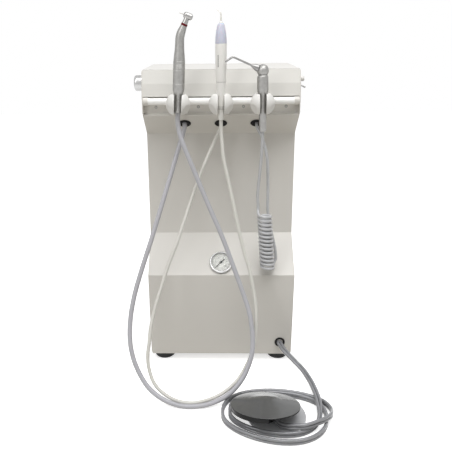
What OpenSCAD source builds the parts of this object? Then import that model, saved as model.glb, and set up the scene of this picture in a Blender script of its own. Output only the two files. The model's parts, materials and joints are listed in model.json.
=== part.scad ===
// Portable dental unit: a sheet-metal cabinet with a sloped base, a column and an overhanging head,
// three instruments in ball holders on a rail, their hoses, and a foot pedal on a coiled twin hose.
// Millimetres. The origin is on the floor, midway between the four feet. The front faces -Y.

/* [Cabinet] */
// Width over the side panels
body_w = 330; // [322:1:344]
// Depth from the base's front to the rear cover
body_d = 262; // [256:1:284]
// Height of the base's upright front
base_h = 204; // [196:1:212]
// How far back the base's sloped top runs
slope_run = 82.5; // [78:0.5:88]
// Height of the base's sloped top
slope_rise = 72; // [68:1:78]
// Height of the column's front
column_h = 232; // [224:1:240]
// How far the column's front leans back
column_lean = 17.5; // [12:0.5:22]
// How far the head overhangs the column
overhang_run = 63; // [58:1:68]
// Height of the head's slanted underside
overhang_rise = 49; // [45:1:54]
// Height of the recess behind the rail
recess_h = 34; // [31:1:38]
// Depth of the recess behind the rail
recess_d = 15; // [12:1:18]
// Height of the head panel below its crease
panel_low_h = 29; // [26:1:32]
// How far the head panel leans back below its crease
panel_low_lean = 6; // [3:1:9]
// Height of the head panel above its crease
panel_high_h = 27; // [24:1:30]
// How far the head panel leans back above its crease
panel_high_lean = 11; // [8:1:14]
// Thickness of the cabinet's sheet
sheet_t = 2; // [1.5:0.5:2.5]

/* [Feet] */
// Height of a rubber foot
foot_h = 20; // [18:1:24]
// Radius of a foot at the cabinet
foot_top_r = 26; // [25:0.5:27]
// Radius of a foot on the floor
foot_low_r = 24; // [22:0.5:25]
// Distance from a foot's centre to the side of the cabinet
foot_inset_x = 29; // [28:1:34]
// Distance from a foot's centre to the front or back of the cabinet
foot_inset_y = 33; // [30:1:38]
// Radius of the open socket in a foot's underside
socket_r = 6; // [5.5:0.5:7]
// Depth of the open socket in a foot's underside
socket_h = 6; // [5:0.5:7]

/* [Rail and holders] */
// Radius of the holder rail
rail_r = 7; // [6:0.5:8]
// Radius of a ball holder
holder_r = 25; // [24:0.5:27]
// Place of the handpiece, the scaler and the syringe along the rail
inst_x = [-87, 0, 84.3]; // [-120:0.1:120]
// Radius of the flats on a ball holder
flat_r = 11; // [9:1:14]

/* [Handpiece] */
// Radius of the hose coupling
coupling_r = 8.3; // [7.5:0.1:8.6]
// Radius of the motor
motor_r = 11.8; // [10.5:0.1:13]
// Length of the motor
motor_l = 69; // [60:1:80]
// Length of the contra-angle up to its bend
angle_body_l = 47; // [40:1:56]
// Length of the contra-angle's neck up to its ring
neck_l = 21; // [18:1:26]
// Tilt of the neck
neck_tilt = 21; // [15:1:26]
// Radius of the contra-angle's head
head_r = 6.2; // [5.8:0.1:7]
// Length that the bur stands out of the head
bur_out = 9; // [6:0.5:12]

/* [Scaler] */
// Length of the scaler's white sleeve
sleeve_l = 121; // [110:1:130]
// Radius at the top of the sleeve
sleeve_r = 11.5; // [10.5:0.1:12.5]
// Length of the scaler's tinted cone
cone_l = 37.5; // [32:0.5:42]
// Length of the scaler's tail
tail_l = 27; // [22:1:32]

/* [Syringe] */
// Radius of the syringe's lower tube
grip_r = 7.5; // [6.9:0.1:7.8]
// Length of the lower tube under the holder's centre
grip_l = 56; // [48:1:64]
// Radius of the syringe's upper body
valve_r = 11.2; // [10:0.1:12]
// Radius of the syringe's ball head
ball_r = 12; // [11.4:0.1:13]
// Travel of the air and water buttons
button_travel = 2.5; // [1.5:0.5:3]

/* [Gauge and knobs] */
// Outer radius of the pressure gauge's bezel
bezel_r = 26.5; // [24:0.5:27.5]
// Distance from the slope's lower edge to the gauge's centre
gauge_up = 31.5; // [28:0.5:40]
// Radius of the pressure regulator's knob
knob_r = 16.5; // [14:0.5:19]
// Length of the pressure regulator's knob
knob_l = 19; // [14:1:24]

/* [Pedal] */
// Radius of the pedal's steel disc
disc_r = 70; // [68:0.5:73]
// Height of the disc's cone
disc_rise = 15; // [12:1:18]
// Height of the disc's turned-down rim
disc_rim = 9; // [7:0.5:9.5]
// Rest angle of the disc above level
disc_tilt = 16; // [14:0.5:17]
// Radius of the pedal's base
pedal_r = 54; // [52:1:55]

/* [Hoses] */
// Radius of the handpiece's hose
hand_hose_r = 5; // [4:0.25:5.5]
// Radius of the scaler's hose
scaler_hose_r = 3.75; // [3:0.25:4]
// Radius of the syringe's curly hose
curl_tube_r = 3.2; // [2.5:0.1:3.5]
// Mean radius of the syringe hose's curls
curl_r = 13.2; // [12:0.1:14]
// Number of curls in the syringe's hose
curls = 14; // [10:1:16]
// Radius of each of the two tubes of the foot pedal's hose
foot_tube_r = 3.4; // [2.8:0.1:3.4]
// Number of loops of hose on the floor
floor_loops = 1.83; // [1.83:1:2.83]

/* [Hidden] */
$fn = 48;
FIT = 0.05;        // radial clearance of a fit or a running bearing
GAP = 0.3;         // clearance between pieces that move apart
SEAM = 0.6;        // open seam between two panels

// Cabinet profile, from the floor up
front_y = -body_d / 2;
back_y = body_d / 2;
side_x = body_w / 2;
in_x = side_x - sheet_t;
base_z = foot_h;
slope_z = base_z + base_h;
column_z = slope_z + slope_rise;
under_z = column_z + column_h;
ledge_z = under_z + overhang_rise;
panel_z = ledge_z + recess_h;
crease_z = panel_z + panel_low_h;
top_z = crease_z + panel_high_h;
column_y = front_y + slope_run;
under_y = column_y + column_lean;
head_y = under_y - overhang_run;
recess_y = head_y + recess_d;
crease_y = head_y + panel_low_lean;
top_y = crease_y + panel_high_lean;
slope_tilt = atan2(slope_rise, slope_run);
under_tilt = atan2(overhang_rise, overhang_run);

profile = [[front_y, base_z], [front_y, slope_z], [column_y, column_z], [under_y, under_z],
    [head_y, ledge_z], [head_y, panel_z], [crease_y, crease_z], [top_y, top_z],
    [back_y, top_z], [back_y, base_z]];
shell_line = [[front_y, base_z], [front_y, slope_z], [column_y, column_z], [under_y, under_z],
    [head_y, ledge_z], [recess_y, ledge_z], [recess_y, panel_z - GAP]];
flange_back = 12;
// the head panel stops just below the top cover's surface, in front of the cover's edge
panel_drop = 0.8;
panel_line = [[recess_y + flange_back, panel_z], [head_y, panel_z], [crease_y, crease_z],
    [top_y - panel_drop * panel_high_lean / (top_z - crease_z), top_z - panel_drop]];
cover_y = top_y + 0.9 * sheet_t;

// Feet
foot_x = side_x - foot_inset_x;
foot_y = body_d / 2 - foot_inset_y;
foot_places = [for (sx = [-1, 1], sy = [-1, 1]) [sx * foot_x, sy * foot_y, 0]];
foot_screw_r = 2.5;
foot_screw_head_r = 4.5;
foot_screw_head_h = 3.4;
head_room = 4;     // height of the narrower recess that holds a foot screw's head

// Rail, holders and instruments: each instrument is drawn in its holder's own frame
rail_y = head_y - 6;
rail_z = panel_z - 6;
rail_end = side_x - 4;
bracket_w = 10;
clamp_r = rail_r + 1.2;
clamp_w = 30;
inst_y = rail_y - holder_r + 3;
holder_z = rail_z - 3;
holder_trim = 20;
inst_lean = [3, 0, -1.2];
mouth_z = 12;
slot_w = [15, 13, 13];

coupling_low = -17;
coupling_top = 15;
motor_top = coupling_top + motor_l;
bend_z = motor_top + angle_body_l;
ring_l = 2.6;
head_out = 18.6 + neck_l;
head_tilt = -73;
head_l = 8;
bur_r = 0.8;
button_r = 4.3;
chuck_travel = 0.8;

tail_low = -32;
sleeve_low = tail_low + tail_l;
sleeve_top = sleeve_low + sleeve_l;
cone_top = sleeve_top + cone_l;
tip_rod = 18.5;
tip_bend = -52;

valve_low = 26;
valve_top = 53;
ball_z = valve_top + 11.5;
nozzle_turn = 12;   // the nozzle points this far forward of the left
nozzle_rise = 25;   // and this far up
nozzle_socket = 5.5;
collar_l = 14;
nozzle_tube = 43;
nozzle_end = 18;
syringe_button_r = 3.2;
button_turn = 65;
button_side = 4.2;

// Gauge
bezel_h = 7;
can_r = bezel_r - 3;
can_l = 24;
dial_r = bezel_r - 3;
dial_t = 1;
glass_t = 1.2;
glass_low = 4.6;
needle_low = 2.2;

// Side controls
knob_y = front_y + 81;
knob_z = crease_z - 2;
water_z = crease_z + 4.4;
toggle_y = knob_y - 6;
toggle_z = crease_z - 6.6;
toggle_tilt = 25;
water_r = 5.3;
water_l = 11;
shaft_r = 4;
stem_r = 2.5;

// Glands on the underside of the head and on the base
gland_share = 0.54;
gland_x = [-78, 0, 77];
gland_y = under_y - gland_share * overhang_run;
gland_z = under_z + gland_share * overhang_rise;
gland_r = 13.5;
gland_bore = [hand_hose_r, scaler_hose_r, curl_tube_r];
foot_gland_x = side_x - 27.6;
foot_gland_z = 52;
foot_gland_r = 12;

// Pedal
pedal_x = 105;
pedal_y = -328;
pedal_wide = 12;     // the base's straight stretch
plate_t = 5;
disc_x = 87.5;
pivot_y = -279.5;
pivot_z = 12.5;
pin_r = 2;
disc_t = 1.5;
disc_y = pivot_y + 9.5 - disc_r;
disc_z = 19;
lug_t = 3;
lug_out = 16;
ear_out = lug_out - lug_t - 1;
spring_y = -314;
spring_r = 9;
spring_wire = 0.9;
spring_turns = 5;
spring_low = plate_t + 3;
spring_h = 23;
valve_x = disc_x + 11.5;
valve_y = -342;
valve_turn = 30;

// Hose routes: the points that each hose passes through
hand_route = [[-88, -122, 584.4], [-88.8, -122.2, 566], [-85.5, -124.5, 543], [-77, -129, 518],
    [-54, -138, 461],
    [-26, -150, 394], [2, -164, 330], [26, -180, 267], [47, -198, 212], [60, -215, 173],
    [66, -233, 132], [65, -248, 102], [57, -261, 75], [40, -277, 47], [12, -292, 23],
    [-25, -302, 9], [-62, -306, 5.2], [-95, -303, 7], [-128, -295, 18], [-157, -282, 38],
    [-180, -263, 70], [-192, -247, 102], [-196, -232, 134], [-194, -215, 170],
    [-186, -197, 211], [-171, -179, 260], [-150, -158, 321], [-126, -132, 395],
    [-107, -111, 454], [-92, -92, 502], [-82, -79, 533], [-78.2, -71, 547], [-78, -62, 558.5]];
scaler_route = [[0, -122, 569.4], [0.2, -123, 550], [2.2, -127, 522], [6, -133, 488], [21, -145, 420],
    [36, -159, 350], [50, -172, 293], [60, -182, 262], [70, -198, 212], [74, -211, 172],
    [73, -223, 132], [66, -239, 97], [54, -252, 71], [36, -265, 45], [8, -279, 23.5],
    [-26, -290, 11], [-62, -296.5, 7], [-94, -293.5, 10], [-121, -286, 21], [-142, -277, 40],
    [-154, -262, 66], [-157, -251, 92], [-154, -240, 117], [-151, -226, 147],
    [-142, -209, 185], [-128, -191, 227], [-115, -177, 266], [-93, -160, 320],
    [-68, -133, 390], [-46, -112, 449], [-26, -94, 493], [-8, -78, 531], [-0.5, -71.5, 546.5],
    [0, -62, 558.5]];
syringe_route = [[85.5, -122, 545.4], [85.7, -122, 534], [84, -121, 486], [80, -119, 430],
    [78.8, -117.5, 404]];
return_route = [[120, -119, 284], [112, -111, 320], [103, -105, 366], [102, -101, 420],
    [99, -94, 484], [88, -81, 525], [77.5, -71.5, 546.5], [77, -62, 558.5]];
foot_route = [[137.4, -123, 52], [137.8, -139, 51.6], [147, -160, 45.5], [165, -183, 36],
    [182, -206, 27], [193, -235, 21], [198, -262, 18.8], [200.4, -290, 18.4], [200.4, -306, 17.6],
    [199.6, -321, 14.4], [197.2, -336.5, 9.8]];
exit_route = [[210.5, -289, 7.2], [219, -301, 7.8], [223, -313, 9], [223.6, -325, 11.5],
    [221.6, -337, 15.4], [217, -348.5, 19.4], [209, -358, 21.4], [199, -365.5, 21.6],
    [187, -371.5, 21.4], [172.5, -378.4, 21.2], [157.5, -382.8, 20.9], [142.8, -380.5, 18.4],
    [128.5, -375.5, 14.2], [115, -367.5, 12.2], [105.2, -352.8, 12]];

// ---- helpers ----
function unit(v) = v / norm(v);
function right_of(a, b) = let (d = unit(b - a)) [d[1], -d[0]];
// the line moved sideways by t, with mitred corners
function beside(line, t) = let (n = len(line) - 1) [for (i = [0:n])
    let (before = right_of(line[max(i - 1, 0)], line[max(i, 1)]),
        after = right_of(line[min(i, n - 1)], line[min(i + 1, n)]))
    line[i] + t * (before + after) / (1 + before * after)];
function reversed(list) = [for (i = [len(list) - 1:-1:0]) list[i]];
function bent_sheet(line, t) = concat(line, reversed(beside(line, t)));

// a smooth curve through the points, as steps points on each stretch
function on_curve(a, b, c, d, t) = 0.5 * (2 * b + (c - a) * t + (2 * a - 5 * b + 4 * c - d) * t * t
    + (3 * b - a - 3 * c + d) * t * t * t);
function smooth(p, steps) = let (n = len(p) - 1) concat([for (i = [0:n - 1], k = [0:steps - 1])
    on_curve(p[max(i - 1, 0)], p[i], p[i + 1], p[min(i + 2, n)], k / steps)], [p[n]]);
function heading(p, i) = unit(p[min(i + 1, len(p) - 1)] - p[max(i - 1, 0)]);
function square_to(v, d) = unit(v - (v * d) * d);
// a direction square to each ring's heading, carried along without twist
function sides_of(p, first) = [for (i = 0, s = square_to(first, heading(p, 0)); i < len(p);
    i = i + 1, s = i < len(p) ? square_to(s, heading(p, i)) : s) s];
// a closed tube of n sides along the points
module tube(p, r, n, first = [1, 0, 0]) {
    s = sides_of(p, first);
    rings = [for (i = [0:len(p) - 1], k = [0:n - 1])
        let (c = cross(heading(p, i), s[i]), a = 360 * k / n)
        p[i] + r * (cos(a) * s[i] + sin(a) * c)];
    walls = [for (i = [0:len(p) - 2], k = [0:n - 1], half = [0, 1])
        let (a = i * n + k, b = i * n + (k + 1) % n)
        half == 0 ? [a, a + n, b] : [b, a + n, b + n]];
    last = (len(p) - 1) * n;
    ends = [for (k = [1:n - 2], end = [0, 1])
        end == 0 ? [0, k, k + 1] : [last, last + k + 1, last + k]];
    polyhedron(rings, concat(walls, ends));
}
// the least distance between parts of a line that are more than skip points apart
function least_gap(p, skip) = min([for (i = [0:len(p) - 1 - skip])
    min([for (j = [i + skip:len(p) - 1]) norm(p[i] - p[j])])]);

module along_x(from, to) translate([from, 0, 0]) rotate([90, 0, 90]) linear_extrude(to - from) children();
module on_slope(h = 0)
    translate([0, front_y + gauge_up * cos(slope_tilt), slope_z + gauge_up * sin(slope_tilt)])
    rotate([slope_tilt, 0, 0]) translate([0, 0, h]) children();
module on_underside(x) translate([x, gland_y, gland_z]) rotate([180 - under_tilt, 0, 0]) children();
module in_holder(i) translate([inst_x[i], inst_y, holder_z]) rotate([0, inst_lean[i], 0]) children();
module lathe(points) rotate_extrude() polygon(points);
module out_left(x, y, z) translate([x, y, z]) rotate([0, -90, 0]) children();
module out_right(x, y, z) translate([x, y, z]) rotate([0, 90, 0]) children();
module out_back(x, y, z) translate([x, y, z]) rotate([-90, 0, 0]) children();
module out_front(x, y, z) translate([x, y, z]) rotate([90, 0, 0]) children();

// ---- cabinet ----
flange_h = 15;
vent_places = [for (i = [-2:2]) i * 22];

module base_tray() color("gainsboro") {
    difference() {
        union() {
            translate([-in_x, front_y + sheet_t, base_z])
                cube([2 * in_x, body_d - 2 * sheet_t, sheet_t]);
            for (y = [front_y + sheet_t, back_y - 2 * sheet_t])
                translate([-in_x + flange_back + 6, y, base_z])
                    cube([2 * (in_x - flange_back - 6), sheet_t, flange_h]);
        }
        for (p = foot_places)
            translate(p) cylinder(r = foot_screw_r + FIT, h = base_z + 2 * sheet_t);
        for (x = vent_places)
            translate([x - 4, -35, base_z - 1]) cube([8, 70, sheet_t + 2]);
    }
}

module rubber_feet() color("#1c1c1c") for (p = foot_places) translate(p) lathe([
    [socket_r, 0], [foot_low_r - 2, 0], [foot_low_r, 2], [foot_top_r, base_z - 3],
    [foot_top_r, base_z], [foot_screw_r + FIT, base_z], [foot_screw_r + FIT, socket_h + head_room],
    [foot_screw_head_r + FIT, socket_h + head_room], [foot_screw_head_r + FIT, socket_h],
    [socket_r, socket_h]]);

module foot_screws() color("silver") for (p = foot_places) translate(p) {
    translate([0, 0, socket_h + head_room - foot_screw_head_h])
        cylinder(r = foot_screw_head_r, h = foot_screw_head_h);
    cylinder_from(socket_h + head_room, base_z + sheet_t + 8, foot_screw_r);
    translate([0, 0, base_z + sheet_t]) cylinder(r = 4.6, h = 4, $fn = 6);
}
module cylinder_from(low, high, r) translate([0, 0, low]) cylinder(r = r, h = high - low);

recess_screw_x = [-137, -47.5, 47.5, 137];
recess_screw_z = ledge_z + 14;
rear_screw_z = [base_z + 30, base_z + 180, column_z + 60, under_z - 10, panel_z + 20];
rear_screw_x = in_x - 7;
screw_r = 2;

module front_shell() color("#e9e6dc") difference() {
    along_x(-in_x, in_x) polygon(bent_sheet(shell_line, sheet_t));
    on_slope(-can_l) cylinder(r = can_r + GAP, h = can_l + 1);
    for (x = gland_x) on_underside(x) translate([0, 0, -3 * sheet_t])
        cylinder(r = gland_r - 2, h = 4 * sheet_t);
    out_front(foot_gland_x, front_y + 2 * sheet_t, foot_gland_z)
        cylinder(r = foot_gland_r - 2, h = 3 * sheet_t);
    for (x = recess_screw_x) out_front(x, recess_y + 2 * sheet_t, recess_screw_z)
        cylinder(r = screw_r + FIT, h = 3 * sheet_t);
}

module side_plate(side) {
    low_x = side > 0 ? in_x : -side_x;
    along_x(low_x, low_x + sheet_t) polygon(profile);
    // return flange that takes the rear cover's screws
    difference() {
        translate([side > 0 ? in_x - flange_back - 2 : -in_x, back_y - 2 * sheet_t, base_z + sheet_t + 2])
            cube([flange_back + 2, sheet_t, top_z - base_z - 2 * sheet_t - 4]);
        for (z = rear_screw_z) out_back(side * rear_screw_x, back_y - 3 * sheet_t, z)
            cylinder(r = screw_r + FIT, h = 3 * sheet_t);
    }
}
module left_side_panel() color("#e9e6dc") difference() {
    side_plate(-1);
    out_left(-in_x + 1, knob_y, knob_z) cylinder(r = shaft_r + 1, h = sheet_t + 2);
}
module right_side_panel() color("#e9e6dc") difference() {
    side_plate(1);
    out_right(in_x - 1, knob_y, water_z) cylinder(r = stem_r + 1, h = sheet_t + 2);
    out_right(in_x - 1, toggle_y, toggle_z) cylinder(r = stem_r + 1, h = sheet_t + 2);
}

module head_panel() color("#efece4") along_x(-in_x, in_x) polygon(bent_sheet(panel_line, sheet_t));

module top_cover() color("#f2f0ea") {
    translate([-in_x, cover_y, top_z - sheet_t]) cube([2 * in_x, back_y - cover_y, sheet_t]);
    // stiffening lips on the inside
    for (x = [-in_x + 40, in_x - 42]) translate([x, top_y + 30, top_z - sheet_t - 10])
        cube([sheet_t, back_y - top_y - 60, 10]);
}

louvre_w = 90;
louvre_h = 5;
louvre_z = [for (row = [0:6]) base_z + 60 + 16 * row];
inlet_x = -105;
inlet_z = base_z + 45;
inlet_w = 27;
inlet_h = 20;
switch_x = inlet_x + 48;
switch_w = 20;
switch_h = 14;

module rear_cover() color("#e9e6dc") difference() {
    translate([-in_x, back_y - sheet_t, base_z]) cube([2 * in_x, sheet_t, top_z - sheet_t - base_z]);
    for (z = louvre_z) translate([20, back_y - 2 * sheet_t, z]) cube([louvre_w, 3 * sheet_t, louvre_h]);
    for (z = [under_z + 50, under_z + 66]) translate([-louvre_w / 2, back_y - 2 * sheet_t, z])
        cube([louvre_w, 3 * sheet_t, louvre_h]);
    for (z = rear_screw_z, side = [-1, 1]) out_back(side * rear_screw_x, back_y - 2 * sheet_t, z)
        cylinder(r = screw_r + FIT, h = 3 * sheet_t);
    translate([inlet_x - inlet_w / 2 - GAP, back_y - 2 * sheet_t, inlet_z - inlet_h / 2 - GAP])
        cube([inlet_w + 2 * GAP, 3 * sheet_t, inlet_h + 2 * GAP]);
    translate([switch_x - switch_w / 2 - GAP, back_y - 2 * sheet_t, inlet_z - switch_h / 2 - GAP])
        cube([switch_w + 2 * GAP, 3 * sheet_t, switch_h + 2 * GAP]);
}

module pan_screw(l) {
    cylinder(r = 3.4, h = 1.2);
    translate([0, 0, 1.2]) cylinder(r1 = 3.4, r2 = 2.2, h = 1);
    translate([0, 0, -l]) cylinder(r = screw_r, h = l);
}
module casing_screws() color("#b8b8b4") {
    for (x = recess_screw_x) out_front(x, recess_y, recess_screw_z) pan_screw(8);
    for (z = rear_screw_z, side = [-1, 1]) out_back(side * rear_screw_x, back_y, z) pan_screw(8);
}

// ---- inner shelves ----
shelf_low_z = column_z + 4;
shelf_high_z = ledge_z + 6;
shelf_back = back_y - 2 * sheet_t - 1;
module inner_shelf(z, y) {
    difference() {
        translate([-in_x, y, z]) cube([2 * in_x, shelf_back - y, sheet_t]);
        translate([-25, 0, z - 1]) cube([50, 60, sheet_t + 2]);
    }
    for (x = [-in_x, in_x - sheet_t]) translate([x, y + 10, z - 14]) cube([sheet_t, shelf_back - y - 20, 14]);
}
module inner_shelves() color("#c9cbcc") {
    inner_shelf(shelf_low_z, column_y + 8);
    inner_shelf(shelf_high_z, recess_y + 8);
}

// ---- rail and holders ----
module holder_rail() color("#f6f4ee") along_x(-rail_end, rail_end)
    translate([rail_y, rail_z]) circle(r = rail_r);

module rail_brackets() color("#e9e6dc") for (side = [-1, 1])
    along_x(side > 0 ? rail_end - bracket_w : -rail_end, side > 0 ? rail_end : bracket_w - rail_end)
    difference() {
        union() {
            translate([rail_y, rail_z]) circle(r = rail_r + 1.2);
            translate([rail_y, rail_z - rail_r - 1.2]) square([recess_y - rail_y, rail_r + 1]);
        }
        translate([rail_y, rail_z]) circle(r = rail_r + FIT);
    }

module ball_holder(i, bore_r, mouth_r) color("#f8f6f0") difference() {
    union() {
        translate([inst_x[i], inst_y, holder_z]) intersection() {
            sphere(r = holder_r);
            translate([0, 0, -holder_trim]) cylinder(r = holder_r + 1, h = 2 * holder_trim);
        }
        along_x(inst_x[i] - clamp_w / 2, inst_x[i] + clamp_w / 2)
            translate([rail_y, rail_z]) circle(r = clamp_r);
    }
    along_x(inst_x[i] - holder_r, inst_x[i] + holder_r) translate([rail_y, rail_z]) circle(r = rail_r + FIT);
    in_holder(i) {
        cylinder_from(-holder_r - 1, holder_r, bore_r);
        translate([0, 0, mouth_z]) cylinder(r1 = bore_r, r2 = mouth_r, h = holder_trim - mouth_z + 1);
        translate([-slot_w[i] / 2, -holder_r - 1, -holder_r - 1])
            cube([slot_w[i], holder_r + 1, 2 * holder_r + 2]);
    }
    for (side = [-1, 1]) translate([inst_x[i], inst_y, holder_z])
        rotate([0, 0, side * 57 - 90]) rotate([0, 115, 0])
        translate([0, 0, sqrt(holder_r * holder_r - flat_r * flat_r)]) cylinder(r = holder_r, h = holder_r);
}
module handpiece_holder() ball_holder(0, coupling_r + 2 * GAP, coupling_r + 3.2);
module scaler_holder() ball_holder(1, 7.8, 8.9);
module syringe_holder() ball_holder(2, grip_r + 2 * GAP, grip_r + 3.6);

// ---- glands ----
module grommet(r, bore, length) lathe([[bore + GAP, -length], [r - 2 - FIT, -length], [r - 2 - FIT, 0],
    [r, 0], [r - 0.6, 1.6], [bore + 2.5, 2.4], [bore + GAP, 1.4]]);
module hose_grommets() color("#151515") for (i = [0:2]) on_underside(gland_x[i])
    grommet(gland_r, gland_bore[i], 6);
module foot_hose_grommet() color("#151515") out_front(foot_gland_x, front_y, foot_gland_z)
    grommet(foot_gland_r, foot_pair_r, 8);

// ---- gauge ----
module gauge_case() color("silver") on_slope() difference() {
    union() {
        lathe([[0, 0], [bezel_r, 0], [bezel_r, 4.5], [bezel_r - 1.2, bezel_h - 0.8],
            [bezel_r - 3, bezel_h], [0, bezel_h]]);
        cylinder_from(-can_l, 0, can_r);
        cylinder_from(-can_l - 14, -can_l, 5);
    }
    cylinder_from(0.5, bezel_h + 1, dial_r + FIT);
}
module gauge_dial() color("white") on_slope(0.5) difference() {
    cylinder(r = dial_r, h = dial_t);
    translate([0, 0, -1]) cylinder(r = 1, h = dial_t + 2);
}
module gauge_needle() color("#141414") on_slope() {
    cylinder_from(1, needle_low + 1.2, 0.9);
    cylinder_from(needle_low, needle_low + 1.2, 3);
    rotate([0, 0, 135]) translate([0, 0, needle_low]) linear_extrude(0.7)
        polygon([[-1.1, -10], [1.1, -10], [0.8, 0], [0.3, dial_r - 4.5], [-0.3, dial_r - 4.5], [-0.8, 0]]);
}
module gauge_glass() color("lightblue", 0.35) on_slope(glass_low) cylinder(r = dial_r, h = glass_t);

// ---- side controls ----
module regulator_knob() color("silver") out_left(-side_x - SEAM, knob_y, knob_z) difference() {
    union() {
        lathe([[0, 0], [knob_r - 1.5, 0], [knob_r, 1.5], [knob_r, knob_l - 5], [knob_r - 1.2, knob_l - 2.2],
            [knob_r - 4, knob_l - 0.6], [knob_r - 8, knob_l], [0, knob_l]]);
        cylinder_from(-sheet_t - SEAM - 12, 0, shaft_r);
    }
    rotate([0, 0, 90]) translate([knob_r - 5, -0.6, knob_l - 1.4]) cube([3, 1.2, 2]);
}
module water_knob() color("#f2f0ea") out_right(side_x + SEAM, knob_y, water_z) {
    lathe([[0, 0], [water_r, 0], [water_r, water_l - 1.5], [water_r - 1.5, water_l], [0, water_l]]);
    cylinder_from(-sheet_t - SEAM - 8, 0, stem_r);
}
module toggle_lever() color("silver") translate([side_x, toggle_y, toggle_z]) rotate([0, 90 + toggle_tilt, 0])
    lathe([[0, -1.7], [1, -1.4], [1.7, -0.5], [1.7, 0.5], [1.2, 1.5], [1.2, 3], [1.9, 13.5], [1.9, 14.5],
        [1.4, 15.4], [0, 15.9]]);
module valve_bodies() color("#8f9395") {
    out_right(-in_x, knob_y, knob_z) difference() {
        union() {
            cylinder_from(0, 34, 15);
            cylinder_from(34, 46, 9);
        }
        cylinder_from(-1, 16, shaft_r + FIT);
    }
    out_left(in_x, knob_y, water_z) difference() {
        cylinder_from(0, 30, 5.8);
        cylinder_from(-1, 12, stem_r + FIT);
    }
    out_left(in_x, toggle_y, toggle_z) difference() {
        union() {
            cylinder_from(-sheet_t, 0, stem_r + 0.8);
            cylinder_from(0, 22, 4.6);
        }
        cylinder_from(-sheet_t - 1, 2, stem_r - 0.2);
    }
}

// ---- handpiece ----
module handpiece_coupling() color("#b9b7b2") in_holder(0) lathe([[0, coupling_low],
    [coupling_r - 1, coupling_low], [coupling_r, coupling_low + 1], [coupling_r, coupling_top],
    [0, coupling_top]]);
module handpiece_motor() color("#bcbab5") in_holder(0) lathe([[0, coupling_top],
    [coupling_r + 0.4, coupling_top],
    [motor_r, coupling_top + 13], [motor_r, motor_top - 1], [motor_r - 0.4, motor_top], [0, motor_top]]);
module at_neck(out) translate([0, 0, bend_z]) rotate([0, neck_tilt, 0]) translate([0, 0, out]) children();
module at_head() at_neck(head_out) rotate([0, head_tilt - neck_tilt, 0]) children();
module handpiece_body() color("#c4c2be") in_holder(0) {
    lathe([[0, motor_top], [motor_r - 0.3, motor_top], [motor_r - 1.1, motor_top + 10],
        [motor_r - 2.4, motor_top + 22], [motor_r - 3, bend_z - 6], [motor_r - 3.2, bend_z], [0, bend_z]]);
    translate([0, 0, bend_z - 0.3]) sphere(r = motor_r - 3);
    at_neck(0) cylinder(r1 = motor_r - 3.2, r2 = head_r - 0.2, h = neck_l);
}
module handpiece_ring() color("#7a1218") in_holder(0) at_neck(neck_l) cylinder(r = head_r, h = ring_l);
module handpiece_head() color("#cfcdc9") in_holder(0) difference() {
    union() {
        at_neck(neck_l + ring_l)
            cylinder(r1 = head_r - 0.4, r2 = head_r - 1.2, h = head_out - neck_l - ring_l);
        at_head() lathe([[0, -head_l], [head_r - 0.6, -head_l], [head_r, 0.8 - head_l], [head_r, head_l - 3],
            [head_r - 2.4, head_l], [0, head_l]]);
    }
    at_head() {
        cylinder_from(-head_l - 1, 4 - head_l, button_r + FIT);
        cylinder_from(-head_l, head_l + 1, bur_r + FIT);
    }
}
module chuck_button() color("silver") in_holder(0) at_head()
    lathe([[0, -head_l - 2], [button_r - 1.4, -head_l - 2], [button_r, -head_l - 0.8],
        [button_r, 4 - head_l - chuck_travel - GAP], [0, 4 - head_l - chuck_travel - GAP]]);
module bur() color("#d8c37a") in_holder(0) at_head() {
    cylinder_from(5 - head_l, head_l + bur_out - 3, bur_r);
    translate([0, 0, head_l + bur_out - 3]) cylinder(r1 = bur_r, r2 = 0.5, h = 3);
}

// ---- scaler ----
module scaler_tail() color("#c9c6c1") in_holder(1) lathe([[0, tail_low], [4.8, tail_low], [5.5, tail_low + 1],
    [5.8, sleeve_low - 5], [6.8, sleeve_low - 4.6], [6.8, sleeve_low - 0.4], [6.2, sleeve_low],
    [0, sleeve_low]]);
module scaler_sleeve() color("#efece6") in_holder(1) lathe([[0, sleeve_low], [6.9, sleeve_low],
    [7.1, sleeve_low + 17], [8.2, sleeve_low + 31], [9.8, sleeve_low + 48], [9.8, sleeve_low + 48.6],
    [sleeve_r - 0.3, sleeve_top - 40], [sleeve_r, sleeve_top], [0, sleeve_top]]);
module scaler_cone() color("#c3c6e0") in_holder(1) lathe([[0, sleeve_top], [sleeve_r, sleeve_top],
    [sleeve_r * 0.98, sleeve_top + cone_l * 0.2], [sleeve_r * 0.88, sleeve_top + cone_l * 0.5],
    [sleeve_r * 0.7, sleeve_top + cone_l * 0.8], [sleeve_r * 0.5, cone_top - 1.5],
    [sleeve_r * 0.42, cone_top], [0, cone_top]]);
module scaler_tip() color("silver") in_holder(1) translate([0, 0, cone_top]) {
    cylinder(r = 3, h = 2.5);
    cylinder(r1 = 1.9, r2 = 1.3, h = tip_rod);
    translate([0, 0, tip_rod - 0.4]) sphere(r = 1.5);
    translate([0, 0, tip_rod - 0.4]) rotate([0, tip_bend, 0]) cylinder(r1 = 1.3, r2 = 0.5, h = 10);
}

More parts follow.
